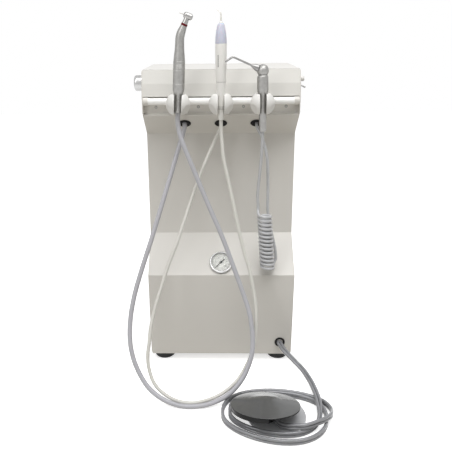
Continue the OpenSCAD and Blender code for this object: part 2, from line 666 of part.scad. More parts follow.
// ---- syringe ----
module to_nozzle() translate([0, 0, ball_z]) rotate([0, 0, nozzle_turn])
    rotate([0, nozzle_rise - 90, 0]) children();
module to_button(side) translate([0, 0, ball_z]) rotate([0, 0, button_turn])
    translate([0, side * button_side, 0])
    rotate([0, 90, 0]) children();
button_in = ball_r - 5.5;
module syringe_body() color("#bdbbb6") in_holder(2) difference() {
    union() {
        lathe([[0, -grip_l], [grip_r - 0.6, -grip_l], [grip_r, 0.6 - grip_l], [grip_r, 8], [grip_r + 0.3, 12],
            [valve_r, valve_low], [valve_r, valve_top], [valve_r - 2, valve_top + 3], [0, valve_top + 3]]);
        translate([0, 0, ball_z]) sphere(r = ball_r);
    }
    to_nozzle() cylinder_from(ball_r - 5, ball_r + 2, nozzle_socket + FIT);
    for (side = [-1, 1]) to_button(side) cylinder_from(button_in, ball_r + 2, syringe_button_r + FIT);
}
module syringe_nozzle() color("#9b9994") in_holder(2) to_nozzle() {
    cylinder_from(ball_r - 5 + GAP, ball_r - 1, nozzle_socket);
    translate([0, 0, ball_r - 1]) cylinder(r1 = nozzle_socket + 1.6, r2 = 2.6, h = collar_l);
    cylinder_from(ball_r - 2 + collar_l, ball_r - 2 + collar_l + nozzle_tube, 1.9);
    translate([0, 0, ball_r - 2 + collar_l + nozzle_tube]) {
        sphere(r = 2.1);
        rotate([0, -55, 0]) {
            cylinder(r = 1.9, h = nozzle_end - 1.5);
            cylinder(r = 1.3, h = nozzle_end);
        }
    }
}
module press_button(side) in_holder(2) to_button(side) translate([0, 0, button_in + button_travel + GAP])
    lathe([[0, 0], [syringe_button_r, 0], [syringe_button_r, 5], [syringe_button_r - 1, 6.2], [0, 6.2]]);
module air_button() color("#d8d6d2") press_button(-1);
module water_button() color("#d8d6d2") press_button(1);

// ---- hoses ----
// curly hose: it comes down on the left, winds down its axis, and leaves upwards at the right
curl_top = [93.5, -130, 368];
curl_low = [102.5, -140, 243];
lead = curl_tube_r * 4;
function curl_at(u) = let (c = curl_top + u * (curl_low - curl_top), a = 180 + 360 * curls * u)
    c + [curl_r * cos(a), curl_r * sin(a), 0];
rings_per_curl = 8;
curl_steps = floor(curls * rings_per_curl) - rings_per_curl / 2;
curl_line = [for (k = [0:curl_steps]) curl_at(k / (curls * rings_per_curl))];
lead_in = [for (a = [90, 60, 30]) curl_line[0] + [0, lead * sin(a), lead * (1 - cos(a))]];
curl_end = curl_line[len(curl_line) - 1];
lead_out = [for (a = [30, 60, 90])
    curl_end + [0.5 * lead * (1 - cos(a)), 1.35 * lead * sin(a), lead * (1 - cos(a))]];
up = [0, 0, 2 * curl_tube_r];
curly = concat([lead_in[0] + up], lead_in, curl_line, lead_out, [lead_out[2] + up]);
echo(least_gap_between_curls = least_gap(curly, 5) - 2 * curl_tube_r);

module handpiece_hose() color("#a9aeb4") tube(smooth(hand_route, 2), hand_hose_r, 10);
module scaler_hose() color("#d6d3cd") tube(smooth(scaler_route, 2), scaler_hose_r, 8);
module syringe_hose() color("#b4b3b0") {
    tube(smooth(concat(syringe_route, [curly[0]]), 4), curl_tube_r, 8);
    tube(smooth(concat([curly[len(curly) - 1]], return_route), 4), curl_tube_r, 8);
}
module syringe_coil() color("#b4b3b0") tube(curly, curl_tube_r, 6);

// the pedal's hose is two tubes, side by side at the gland and one on the other on the floor
foot_pair_gap = 0.2;
pair_half = foot_tube_r + foot_pair_gap / 2;
foot_pair_r = foot_tube_r + pair_half;
function to_one_side(p, turns, side) = [for (i = [0:len(p) - 1])
    let (ahead = heading(p, i), across = unit(cross(ahead, [0, 0, 1])), over = cross(across, ahead))
    p[i] + side * pair_half * (cos(turns[i]) * across + sin(turns[i]) * over)];
module twin_tube(p, turns, n) for (side = [-1, 1]) tube(to_one_side(p, turns, side), foot_tube_r, n);

// loops on the floor: a flat spiral that widens by more than the hose's own width a turn
loop_x = 110.2;
loop_y = -327.3;
loop_wide = 87;       // half the first loop's width, and what a turn adds to it
loop_wider = 15;
loop_front = 58.9;    // how far it reaches to the front, and what a turn adds
loop_front_more = 15.2;
loop_back = 58.5;     // how far it reaches to the back, where its shoulders are full
loop_back_more = 11.8;
loop_shoulder = 0.75;
loop_start = -20;
function loop_reach(t, a) = sin(a) < 0
    ? (loop_front + loop_front_more * t) * sin(a) * (1 + 0.19 * cos(a))
    : (loop_back + loop_back_more * t) * pow(sin(a), loop_shoulder) * (1 - 0.06 * cos(a));
function loop_at(t) = let (a = loop_start - 360 * t)
    [loop_x + (loop_wide + loop_wider * t) * cos(a), loop_y - 4.4 * t + loop_reach(t, a), foot_pair_r];
loop_rings = 24;
loops = [for (k = [0:round(floor_loops * loop_rings)]) loop_at(k / loop_rings)];
echo(least_gap_between_loops = least_gap(loops, 8) - 2 * foot_tube_r);
loops_end = len(loops) - 1;
foot_line = smooth(concat(foot_route, [loops[0]]), 2);
exit_line = smooth(concat([loops[loops_end]], exit_route), 2);
upright = 90;
// the strand from the cabinet turns upright over its last stretch
turn_share = 0.3;
foot_turns = [for (i = [0:len(foot_line) - 1])
    upright * max(0, 1 - (1 - i / (len(foot_line) - 1)) / turn_share)];
module foot_coil() color("#8e9095") twin_tube(loops, [for (p = loops) upright], 6);
module foot_hose() color("#8e9095") {
    twin_tube(foot_line, foot_turns, 8);
    twin_tube(exit_line, [for (p = exit_line) upright], 8);
}

// ---- pedal ----
module pedal_base() color("#c8c9cb") {
    difference() {
        union() {
            for (x = [0, pedal_wide]) translate([pedal_x + x, pedal_y, 0]) cylinder(r = pedal_r, h = plate_t);
            translate([pedal_x, pedal_y - pedal_r, 0]) cube([pedal_wide, 2 * pedal_r, plate_t]);
            translate([disc_x - lug_out - lug_t, spring_y, 0])
                cube([2 * (lug_out + lug_t), pivot_y + 4 - spring_y, plate_t]);
            translate([disc_x, spring_y, plate_t]) cylinder(r = spring_r + 4, h = 3);
            for (side = [-1, 1]) translate([disc_x + side * lug_out - lug_t / 2, pivot_y - 3.5, plate_t])
                cube([lug_t, 7, pivot_z - plate_t]);
            for (side = [-1, 1]) out_right(disc_x + side * lug_out - lug_t / 2, pivot_y, pivot_z)
                cylinder(r = 3.5, h = lug_t);
        }
        for (side = [-1, 1]) out_right(disc_x + side * lug_out - lug_t, pivot_y, pivot_z)
            cylinder(r = pin_r + FIT, h = 2 * lug_t);
    }
}
module pedal_pin() color("silver") out_right(disc_x - lug_out - lug_t, pivot_y, pivot_z)
    cylinder(r = pin_r, h = 2 * (lug_out + lug_t));
module opened() translate([0, pivot_y, pivot_z]) rotate([-disc_tilt, 0, 0])
    translate([0, -pivot_y, -pivot_z]) children();
module pedal_disc() color("#9a9a98") opened() {
    difference() {
        translate([disc_x, disc_y, disc_z]) lathe([[disc_r - disc_t, -disc_rim], [disc_r, -disc_rim],
            [disc_r, -0.6],
            [disc_r - 0.8, 0.4], [disc_r * 0.5, disc_rise * 0.52], [disc_r * 0.22, disc_rise * 0.86],
            [disc_r * 0.08, disc_rise * 0.99], [0, disc_rise], [0, disc_rise - disc_t],
            [disc_r * 0.08, disc_rise * 0.99 - disc_t], [disc_r * 0.22, disc_rise * 0.86 - disc_t],
            [disc_r * 0.5, disc_rise * 0.52 - disc_t], [disc_r - disc_t, -disc_t]]);
        // the rim is cut away where the hose leaves
        translate([disc_x, disc_y, disc_z - disc_rim - 1]) linear_extrude(disc_rim - 1)
            polygon([[0, 0], [0, -2 * disc_r], [2 * disc_r, -2 * disc_r], [2 * disc_r, 0.3 * disc_r]]);
    }
    // ears on the pin
    for (side = [-1, 1]) difference() {
        union() {
            out_right(disc_x + side * ear_out - lug_t / 2, pivot_y, pivot_z) cylinder(r = 3.5, h = lug_t);
            translate([disc_x + side * ear_out - lug_t / 2, pivot_y - 3.5, pivot_z])
                cube([lug_t, 7, disc_z - pivot_z + 0.9]);
        }
        out_right(disc_x + side * ear_out - lug_t, pivot_y, pivot_z)
            cylinder(r = pin_r + FIT, h = 2 * lug_t);
    }
}
spring_line = [for (k = [0:spring_turns * 8])
    [disc_x + spring_r * cos(45 * k), spring_y + spring_r * sin(45 * k),
    spring_low + spring_wire + (spring_h - 2 * spring_wire) * k / (spring_turns * 8)]];
echo(least_gap_between_spring_turns = least_gap(spring_line, 5) - 2 * spring_wire);
module pedal_spring() color("#8c8c88") tube(spring_line, spring_wire, 6);
module pedal_valve() color("#3a3a3c") translate([valve_x, valve_y, plate_t]) rotate([0, 0, valve_turn]) {
    translate([-13, -9, 0]) cube([26, 22, 14]);
    translate([0, 3, 14]) cylinder(r = 4, h = 5);
    for (side = [-1, 1]) out_front(0, -9, 7 + side * pair_half) cylinder(r = foot_tube_r - 0.5, h = 3);
}

// ---- inside ----
motor_x = -30;
motor_y = 15;
mount_h = 15;
sump_z = base_z + sheet_t + mount_h;
mount_places = [for (sx = [-70, 70], sy = [-50, 50]) [motor_x + sx, motor_y + sy, base_z + sheet_t]];
module compressor_mounts() color("#202020") for (p = mount_places) translate(p)
    lathe([[0, 0], [12, 0], [9, mount_h / 2], [12, mount_h], [0, mount_h]]);
sump_w = 170;
sump_d = 124;
sump_t = 4;
drum_r = 50;
drum_l = 124;
cylinder_r = 22;
cylinder_h = 40;
fin_pitch = 7;
module compressor() color("#6f7478") translate([motor_x, motor_y, sump_z]) {
    translate([-sump_w / 2, -sump_d / 2, 0]) cube([sump_w, sump_d, sump_t]);
    translate([-60, -20, sump_t]) cube([120, 40, 20]);
    out_right(-drum_l / 2, 0, drum_r + 10) cylinder(r = drum_r, h = drum_l);
    for (side = [-1, 1]) translate([side * 36, 0, 2 * drum_r]) {
        cylinder(r = cylinder_r, h = cylinder_h);
        for (fin = [0:3]) translate([0, 0, 12 + fin_pitch * fin]) cylinder(r = cylinder_r + 6, h = 3);
        translate([-24, -24, cylinder_h]) cube([48, 48, 9]);
    }
}
tank_r = 50;
tank_h = 180;
tank_ring_h = 6;
tank_t = 2.5;
neck_r = 7;
tank_x = 75 - side_x;
store_y = back_y - 91;
module air_tank() color("#d9dadb") translate([tank_x, store_y, shelf_low_z + sheet_t]) {
    difference() {
        cylinder(r = tank_r - 16, h = tank_ring_h);
        translate([0, 0, -1]) cylinder(r = tank_r - 20, h = tank_ring_h);
    }
    translate([0, 0, tank_ring_h]) lathe([[0, 0], [tank_r - 14, 0], [tank_r - 4, 6], [tank_r, 18],
        [tank_r, tank_h - 18], [tank_r - 4, tank_h - 6], [tank_r - 14, tank_h], [neck_r, tank_h + 2],
        [neck_r, tank_h + 14], [neck_r - 4, tank_h + 14], [neck_r - 4, tank_h - 1],
        [tank_r - 15, tank_h - tank_t],
        [tank_r - 4 - 0.8 * tank_t, tank_h - 6 - 0.6 * tank_t], [tank_r - tank_t, tank_h - 18.5],
        [tank_r - tank_t, 18.5], [tank_r - 4 - 0.8 * tank_t, 6 + 0.6 * tank_t], [tank_r - 15, tank_t],
        [0, tank_t]]);
}
bottle_r = 44;
bottle_h = 166;
bottle_cap_h = 20;
bottle_x = side_x - 73;
module water_bottle() color("#cfe0e8") translate([bottle_x, store_y, shelf_low_z + sheet_t]) {
    lathe([[0, 0], [bottle_r - 2, 0], [bottle_r, 3], [bottle_r, bottle_h - 36],
        [bottle_r - 10, bottle_h - 16],
        [bottle_r - 26, bottle_h - 8], [bottle_r - 26, bottle_h], [0, bottle_h]]);
    translate([0, 0, bottle_h]) cylinder(r = bottle_r - 23, h = bottle_cap_h);
}
block_w = 96;
block_d = 60;
block_h = 22;
valves = 4;
block_x = 55 - side_x;
board_x = side_x - 130;
rack_y = recess_y + 69;
module control_block() color("#a7abad") translate([block_x, rack_y, shelf_high_z + sheet_t]) {
    cube([block_w, block_d, block_h]);
    for (i = [0:valves - 1]) translate([4 + 23 * i, 12, block_h]) cube([18, block_d / 2, 20]);
    for (i = [0:valves - 2]) out_front(20 + 28 * i, 0, block_h / 2) cylinder(r = 4.5, h = 10);
}
board_w = 106;
board_d = 80;
board_up = 6;
board_t = 1.6;
module scaler_board() color("#2f6b46") translate([board_x, rack_y, shelf_high_z + sheet_t]) {
    for (x = [6, board_w - 6], y = [6, board_d - 6]) translate([x, y, 0]) cylinder(r = 3, h = board_up);
    translate([0, 0, board_up]) cube([board_w, board_d, board_t]);
    translate([0, 0, board_up + board_t]) {
        translate([10, 14, 0]) cube([42, 36, 32]);
        translate([64, 12, 0]) cube([14, 56, 22]);
        translate([90, 16, 0]) cylinder(r = 7, h = 24);
    }
}

pin_out = 7;
inlet_d = 16;
rocker_in = 4;
rocker_tilt = 9;
rocker_pin_r = 1;
module power_inlet() color("#1a1a1a") {
    difference() {
        union() {
            translate([inlet_x - 25, back_y, inlet_z - 14]) cube([50, 2.5, 28]);
            translate([inlet_x - inlet_w / 2, back_y - inlet_d, inlet_z - inlet_h / 2])
                cube([inlet_w, inlet_d, inlet_h]);
        }
        translate([inlet_x - inlet_w / 2 + 2, back_y - inlet_d + 3, inlet_z - inlet_h / 2 + 2])
            cube([inlet_w - 4, inlet_d + 3, inlet_h - 4]);
    }
    for (dx = [-7, 0, 7])
        translate([inlet_x + dx - 1, back_y - inlet_d + 3, inlet_z - 2 - (dx == 0 ? 2 : -1)])
        cube([2, pin_out, 4]);
    // switch frame
    difference() {
        union() {
            translate([switch_x - switch_w / 2 - 2.5, back_y, inlet_z - switch_h / 2 - 2.5])
                cube([switch_w + 5, 1.6, switch_h + 5]);
            translate([switch_x - switch_w / 2, back_y - 14, inlet_z - switch_h / 2])
                cube([switch_w, 14, switch_h]);
        }
        translate([switch_x, back_y - rocker_in, inlet_z - switch_h])
            cylinder(r = rocker_pin_r + FIT, h = 2 * switch_h);
        translate([switch_x - switch_w / 2 + 1.2, back_y - 10, inlet_z - switch_h / 2 + 1.2])
            cube([switch_w - 2.4, 13, switch_h - 2.4]);
    }
}
module power_switch() color("#20252b") translate([switch_x, back_y - rocker_in, inlet_z]) {
    rotate([0, 0, -rocker_tilt]) translate([0, 0, -switch_h / 2 + 2]) linear_extrude(switch_h - 4)
        polygon([[-5, -2], [5, -2], [7.4, 4.4], [0, 3.2], [-7.4, 4.4]]);
    cylinder_from(0.5 - switch_h / 2, switch_h / 2 - 0.5, rocker_pin_r);
}

base_tray();
rubber_feet();
foot_screws();
front_shell();
left_side_panel();
right_side_panel();
head_panel();
top_cover();
rear_cover();
casing_screws();
inner_shelves();
holder_rail();
rail_brackets();
handpiece_holder();
scaler_holder();
syringe_holder();
hose_grommets();
foot_hose_grommet();
gauge_case();
gauge_dial();
gauge_needle();
gauge_glass();
regulator_knob();
water_knob();
toggle_lever();
valve_bodies();
handpiece_coupling();
handpiece_motor();
handpiece_body();
handpiece_ring();
handpiece_head();
chuck_button();
bur();
scaler_tail();
scaler_sleeve();
scaler_cone();
scaler_tip();
syringe_body();
syringe_nozzle();
air_button();
water_button();
handpiece_hose();
scaler_hose();
syringe_hose();
syringe_coil();
foot_hose();
foot_coil();
pedal_base();
pedal_disc();
pedal_pin();
pedal_spring();
pedal_valve();
compressor();
compressor_mounts();
air_tank();
water_bottle();
control_block();
scaler_board();
power_inlet();
power_switch();
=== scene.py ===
# Portable dental unit: the finished look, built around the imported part.
# Shapes are drawn in millimetres and scaled to metres when a piece is finished.
import json
from math import atan2, ceil, copysign, cos, hypot, pi, radians, sin, tan

import bmesh
import bpy
from mathutils import Matrix, Vector

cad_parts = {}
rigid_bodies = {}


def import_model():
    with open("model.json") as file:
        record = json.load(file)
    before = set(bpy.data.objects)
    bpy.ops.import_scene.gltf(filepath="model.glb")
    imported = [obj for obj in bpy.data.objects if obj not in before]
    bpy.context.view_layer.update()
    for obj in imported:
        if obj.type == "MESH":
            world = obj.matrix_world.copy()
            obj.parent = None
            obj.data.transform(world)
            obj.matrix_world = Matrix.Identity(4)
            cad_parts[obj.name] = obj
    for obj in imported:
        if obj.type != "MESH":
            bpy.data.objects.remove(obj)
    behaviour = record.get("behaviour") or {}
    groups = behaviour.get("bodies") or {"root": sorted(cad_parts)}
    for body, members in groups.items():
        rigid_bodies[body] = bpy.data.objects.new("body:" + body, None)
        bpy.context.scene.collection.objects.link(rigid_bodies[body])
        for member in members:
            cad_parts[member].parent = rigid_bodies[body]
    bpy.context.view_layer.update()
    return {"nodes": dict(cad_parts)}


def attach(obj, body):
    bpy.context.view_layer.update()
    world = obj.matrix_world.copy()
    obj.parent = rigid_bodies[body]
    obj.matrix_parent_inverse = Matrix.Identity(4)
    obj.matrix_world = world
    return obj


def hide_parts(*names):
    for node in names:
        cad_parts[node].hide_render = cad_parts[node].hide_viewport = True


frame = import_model()
nodes = frame["nodes"]
MM = 0.001

# ---- camera ----
CAMERA_AT = (-0.007, -1.236, 0.741)
CAMERA_PITCH = radians(19.84)
CAMERA_YAW = radians(-1.54)
CAMERA_ROLL = radians(0.67)


def set_camera():
    ahead = Vector((sin(CAMERA_YAW) * cos(CAMERA_PITCH),
                    cos(CAMERA_YAW) * cos(CAMERA_PITCH), -sin(CAMERA_PITCH)))
    level = Vector((cos(CAMERA_YAW), -sin(CAMERA_YAW), 0))
    below = ahead.cross(level)
    side = level * cos(CAMERA_ROLL) + below * sin(CAMERA_ROLL)
    below = below * cos(CAMERA_ROLL) - level * sin(CAMERA_ROLL)
    data = bpy.data.cameras.new("camera")
    data.lens = 43.0
    data.sensor_width = 36.0
    data.shift_x = 0.0482
    camera = bpy.data.objects.new("camera", data)
    bpy.context.scene.collection.objects.link(camera)
    turn = Matrix((side, -below, -ahead)).transposed().to_4x4()
    camera.matrix_world = Matrix.Translation(CAMERA_AT) @ turn
    bpy.context.scene.camera = camera


set_camera()


# ---- finishes ----
def preset(made, values):
    for socket, value in values.items():
        made.inputs[socket].default_value = value
    return made


def node(tree, kind, values=None):
    return preset(tree.nodes.new("ShaderNode" + kind), values or {})


def shader(name):
    material = bpy.data.materials.new(name)
    material.use_nodes = True
    tree = material.node_tree
    tree.nodes.clear()
    out = node(tree, "OutputMaterial")
    body = node(tree, "BsdfPrincipled")
    tree.links.new(body.outputs["BSDF"], out.inputs["Surface"])
    return material, tree, body


def noise(tree, size, stretch=(1, 1, 1), detail=3.0):
    # size is the number of cells in a metre
    place = node(tree, "TexCoord")
    mapping = node(tree, "Mapping", {"Scale": stretch})
    cells = node(tree, "TexNoise", {"Scale": size, "Detail": detail})
    tree.links.new(place.outputs["Object"], mapping.inputs["Vector"])
    tree.links.new(mapping.outputs["Vector"], cells.inputs["Vector"])
    return cells.outputs["Fac"]


def between(tree, value, low, high):
    # the noise's middle part, spread from low to high
    span = node(tree, "MapRange", {"From Min": 0.3, "From Max": 0.7, "To Min": low, "To Max": high})
    tree.links.new(value, span.inputs["Value"])
    return span.outputs["Result"]


def mixed(tree, value, first, second):
    mix = node(tree, "Mix")
    mix.data_type = "RGBA"
    mix.inputs["A"].default_value = (*first, 1)
    mix.inputs["B"].default_value = (*second, 1)
    tree.links.new(value, mix.inputs["Factor"])
    return mix.outputs["Result"]


def raised(tree, value, strength, distance):
    bump = node(tree, "Bump", {"Strength": strength, "Distance": distance})
    tree.links.new(value, bump.inputs["Height"])
    return bump.outputs["Normal"]


COAT_ROUGHNESS = 0.08


def finish(name, colour, roughness, metallic=0.0, coat=0.0, mottle=0.05, cloud=25.0, grain=900.0,
           rough_span=0.04, bump=0.05, depth=0.1, stretch=(1, 1, 1), specular=0.5, fixed=None):
    material, tree, body = shader(name)
    broad = between(tree, noise(tree, cloud), 0.0, 1.0)
    darker = [c * (1 - mottle) for c in colour]
    lighter = [min(1.0, c * (1 + mottle)) for c in colour]
    tree.links.new(mixed(tree, broad, darker, lighter), body.inputs["Base Color"])
    fine = noise(tree, grain, stretch, 2.0)
    tree.links.new(between(tree, fine, roughness - rough_span, roughness + rough_span),
                   body.inputs["Roughness"])
    if bump:
        tree.links.new(raised(tree, fine, bump, depth * MM), body.inputs["Normal"])
    preset(body, {"Metallic": metallic, "Coat Weight": coat, "Coat Roughness": COAT_ROUGHNESS,
                  "Specular IOR Level": specular})
    preset(body, fixed or {})
    return material


def casing_paint(name, colour, roughness, mottle, cloud):
    return finish(name, colour, roughness, mottle=mottle, cloud=cloud, grain=1500.0, rough_span=0.05,
                  bump=0.10, depth=0.06)


powder_coat = casing_paint("powder_coat", (0.71, 0.69, 0.65), 0.42, 0.012, 7.0)
# a lighter copy of the casing paint for the head's front: painted light on the same paint
head_coat_painted_light = casing_paint("head_coat_painted_light", (0.74, 0.727, 0.69), 0.40, 0.010, 8.0)
# a darker copy of the casing paint for the top cover: painted shade that offsets the overhead light
cover_coat_painted_shade = casing_paint("cover_coat_painted_shade", (0.66, 0.645, 0.615), 0.40, 0.010, 8.0)
gloss_white = finish("gloss_white", (0.77, 0.76, 0.735), 0.44, coat=0.1, mottle=0.010, cloud=30.0,
                     grain=300.0, rough_span=0.03, bump=0.02)
rail_enamel = finish("rail_enamel", (0.96, 0.955, 0.94), 0.34, coat=0.5, mottle=0.012, cloud=30.0,
                     grain=500.0, rough_span=0.03, bump=0.03)
black_rubber = finish("black_rubber", (0.013, 0.013, 0.0135), 0.62, mottle=0.2, cloud=80.0, grain=1600.0,
                      rough_span=0.08, bump=0.25, depth=0.15, specular=0.35)
gland_rubber = finish("gland_rubber", (0.006, 0.006, 0.006), 0.62, mottle=0.2, cloud=120.0, grain=1600.0,
                      rough_span=0.08, bump=0.2, depth=0.12, specular=0.2)
zinc = finish("zinc", (0.30, 0.295, 0.28), 0.34, metallic=1.0, mottle=0.08, cloud=300.0, grain=2600.0,
              rough_span=0.08, bump=0.08, depth=0.05)
bright_chrome = finish("bright_chrome", (0.60, 0.60, 0.60), 0.14, metallic=1.0, mottle=0.03, cloud=90.0,
                       grain=700.0, rough_span=0.04, bump=0.015, depth=0.05)
turned_chrome = finish("turned_chrome", (0.47, 0.47, 0.465), 0.28, metallic=1.0, mottle=0.05, cloud=90.0,
                       grain=1.0, stretch=(5200, 30, 30), rough_span=0.09, bump=0.05, depth=0.04)
satin_steel = finish("satin_steel", (0.33, 0.325, 0.313), 0.45, metallic=1.0, mottle=0.09, cloud=160.0,
                     grain=1.0, stretch=(60, 60, 4200), rough_span=0.09, bump=0.06, depth=0.05)
polished_steel = finish("polished_steel", (0.36, 0.355, 0.345), 0.26, metallic=1.0, mottle=0.06,
                        cloud=220.0, grain=1.0, stretch=(80, 80, 3600), rough_span=0.06, bump=0.03,
                        depth=0.04)
nozzle_steel = finish("nozzle_steel", (0.27, 0.265, 0.26), 0.30, metallic=1.0, mottle=0.08, cloud=220.0,
                      grain=2400.0, rough_span=0.07, bump=0.05, depth=0.05)
red_enamel = finish("red_enamel", (0.12, 0.003, 0.008), 0.5, specular=0.2, mottle=0.12, cloud=500.0,
                    grain=1500.0, rough_span=0.05, bump=0.03)
bur_steel = finish("bur_steel", (0.30, 0.285, 0.26), 0.32, metallic=1.0, mottle=0.1, cloud=600.0,
                    grain=3000.0, rough_span=0.08, bump=0.1, depth=0.03)
sleeve_plastic = finish("sleeve_plastic", (0.92, 0.91, 0.88), 0.38, mottle=0.012, cloud=60.0,
                        grain=1300.0, rough_span=0.04, bump=0.04, depth=0.06)
lilac_plastic = finish("lilac_plastic", (0.64, 0.65, 0.76), 0.34, mottle=0.03, cloud=110.0, grain=1300.0,
                       rough_span=0.04, bump=0.04, depth=0.05,
                       fixed={"Subsurface Weight": 0.15, "Subsurface Scale": 0.003})
mark_grey = finish("mark_grey", (0.09, 0.09, 0.088), 0.5, mottle=0.12, cloud=600.0, grain=2600.0, bump=0.05)
blue_silicone = finish("blue_silicone", (0.47, 0.468, 0.50), 0.36, coat=0.12, mottle=0.035,
                       cloud=18.0, grain=1300.0, rough_span=0.05, bump=0.06, depth=0.08)
white_silicone = finish("white_silicone", (0.70, 0.69, 0.645), 0.38, mottle=0.03, cloud=18.0,
                        grain=1300.0, rough_span=0.05, bump=0.06, depth=0.08)
curly_plastic = finish("curly_plastic", (0.50, 0.505, 0.52), 0.24, coat=0.3, mottle=0.05, cloud=70.0,
                       grain=800.0, rough_span=0.04, bump=0.03, depth=0.06)
foot_plastic = finish("foot_plastic", (0.24, 0.243, 0.258), 0.17, coat=0.9, mottle=0.08, cloud=45.0,
                      grain=700.0, rough_span=0.05, bump=0.04, depth=0.08)
pedal_plastic = finish("pedal_plastic", (0.52, 0.525, 0.54), 0.42, mottle=0.04, cloud=40.0, grain=1300.0,
                       rough_span=0.06, bump=0.1, depth=0.08)
disc_steel = finish("disc_steel", (0.135, 0.137, 0.137), 0.18, metallic=0.35, specular=0.2, mottle=0.05,
                    cloud=26.0, grain=420.0, rough_span=0.035, bump=0.02, depth=0.08)
# near-black steel for the pedal's turned-down rim: a painted dark reflection, darker than the cone's own
# steel
rim_painted_reflection = finish("rim_painted_reflection", (0.02, 0.02, 0.02), 0.16, metallic=1.0, mottle=0.1, cloud=60.0, grain=500.0,
                   rough_span=0.05, bump=0.03, depth=0.06)
spring_steel = finish("spring_steel", (0.45, 0.45, 0.43), 0.3, metallic=1.0, mottle=0.1, cloud=200.0,
                      grain=2200.0, rough_span=0.08, bump=0.08, depth=0.05)
black_plastic = finish("black_plastic", (0.028, 0.028, 0.030), 0.40, mottle=0.15, cloud=90.0,
                       grain=1700.0, rough_span=0.07, bump=0.12, depth=0.08)
grey_anodised = finish("grey_anodised", (0.40, 0.41, 0.42), 0.36, metallic=1.0, mottle=0.08, cloud=90.0,
                       grain=1600.0, rough_span=0.07, bump=0.06, depth=0.06)
cast_metal = finish("cast_metal", (0.34, 0.36, 0.37), 0.55, metallic=0.8, mottle=0.14, cloud=60.0,
                    grain=900.0, rough_span=0.1, bump=0.3, depth=0.3)
tank_paint = finish("tank_paint", (0.68, 0.69, 0.70), 0.35, coat=0.3, mottle=0.03, cloud=20.0,
                    grain=700.0, bump=0.08)
bottle_plastic = finish("bottle_plastic", (0.62, 0.74, 0.80), 0.32, mottle=0.04, cloud=25.0,
                        grain=900.0, bump=0.04)
board_laminate = finish("board_laminate", (0.03, 0.15, 0.06), 0.4, coat=0.3, mottle=0.2, cloud=160.0,
                        grain=1800.0, bump=0.1)
dial_paint = finish("dial_paint", (0.60, 0.585, 0.56), 0.55, mottle=0.02, cloud=120.0, grain=1700.0,
                    rough_span=0.05, bump=0.03)
needle_paint = finish("needle_paint", (0.030, 0.030, 0.026), 0.42, mottle=0.2, cloud=400.0,
                      grain=2200.0, bump=0.04)
scale_ink = finish("scale_ink", (0.045, 0.045, 0.045), 0.6, mottle=0.2, cloud=500.0, grain=2400.0, bump=0.02)
gauge_shade = finish("gauge_shade", (0.30, 0.29, 0.275), 0.4, mottle=0.1, cloud=300.0, grain=1700.0,
                     bump=0.03)
tip_steel = finish("tip_steel", (0.74, 0.72, 0.67), 0.42, metallic=0.6, mottle=0.04, cloud=400.0,
                   grain=2400.0, rough_span=0.06, bump=0.03, depth=0.03)


def clear_glass():
    material, tree, body = shader("gauge_glass")
    preset(body, {"Base Color": (0.97, 0.985, 0.98, 1), "Transmission Weight": 1.0, "IOR": 1.12})
    fine = noise(tree, 260.0, detail=1.0)
    tree.links.new(between(tree, fine, 0.01, 0.05), body.inputs["Roughness"])
    return material


glass = clear_glass()


# ---- making and finishing a piece ----
def shift(x, y, z):
    return Matrix.Translation((x, y, z))


def rotation(degrees, axis):
    return Matrix.Rotation(radians(degrees), 4, axis)


def facing(x, y, z, axis, degrees):
    return shift(x, y, z) @ rotation(degrees, axis)


def linked(name, data):
    piece = bpy.data.objects.new(name, data)
    bpy.context.scene.collection.objects.link(piece)
    return piece


def finished(name, shape, material, body, stands_for=(), place=None, sharp=32.0, edge=0.0,
             wall=0.0, steps=2):
    """Turns a millimetre shape into a named piece on its body."""
    if place is not None:
        bmesh.ops.transform(shape, matrix=place, verts=shape.verts)
    bmesh.ops.scale(shape, vec=(MM, MM, MM), verts=shape.verts)
    data = bpy.data.meshes.new(name)
    shape.to_mesh(data)
    shape.free()
    data.shade_smooth()
    data.set_sharp_from_angle(angle=radians(sharp))
    data.materials.append(material)
    piece = linked(name, data)
    if wall:
        solid = piece.modifiers.new("wall", "SOLIDIFY")
        solid.thickness = wall * MM
        solid.offset = -1.0
    if edge:
        add_edge(piece, edge, steps)
    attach(piece, body)
    if stands_for:
        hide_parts(*stands_for)
    return piece


def add_edge(piece, width, steps):
    soft = piece.modifiers.new("edge", "BEVEL")
    soft.width = width * MM
    soft.segments = steps
    soft.limit_method = "ANGLE"
    soft.angle_limit = radians(38.0)
    soft.harden_normals = True


def welded(shape, reach=0.0005):
    bmesh.ops.remove_doubles(shape, verts=shape.verts, dist=reach)
    bmesh.ops.recalc_face_normals(shape, faces=shape.faces)
    return shape


def dense(profile, step):
    # the same profile with no stretch longer than step
    points = [profile[0]]
    for (r0, z0), (r1, z1) in zip(profile, profile[1:]):
        parts = max(1, ceil(hypot(r1 - r0, z1 - z0) / step))
        points += [(r0 + (r1 - r0) * k / parts, z0 + (z1 - z0) * k / parts) for k in range(1, parts + 1)]
    return points


def eased(profile, reach, steps=3):
    """The same profile with its corners rounded, at most reach from each corner."""
    points = [profile[0]]
    for before, corner, after in zip(profile, profile[1:], profile[2:]):
        a, c, b = Vector(before), Vector(corner), Vector(after)
        cut_a = min(reach, (a - c).length * 0.45)
        cut_b = min(reach, (b - c).length * 0.45)
        start = c + (a - c).normalized() * cut_a
        end = c + (b - c).normalized() * cut_b
        for k in range(steps + 1):
            t = k / steps
            p = start * (1 - t) ** 2 + c * 2 * t * (1 - t) + end * t ** 2
            points.append((p.x, p.y))
    points.append(profile[-1])
    return points


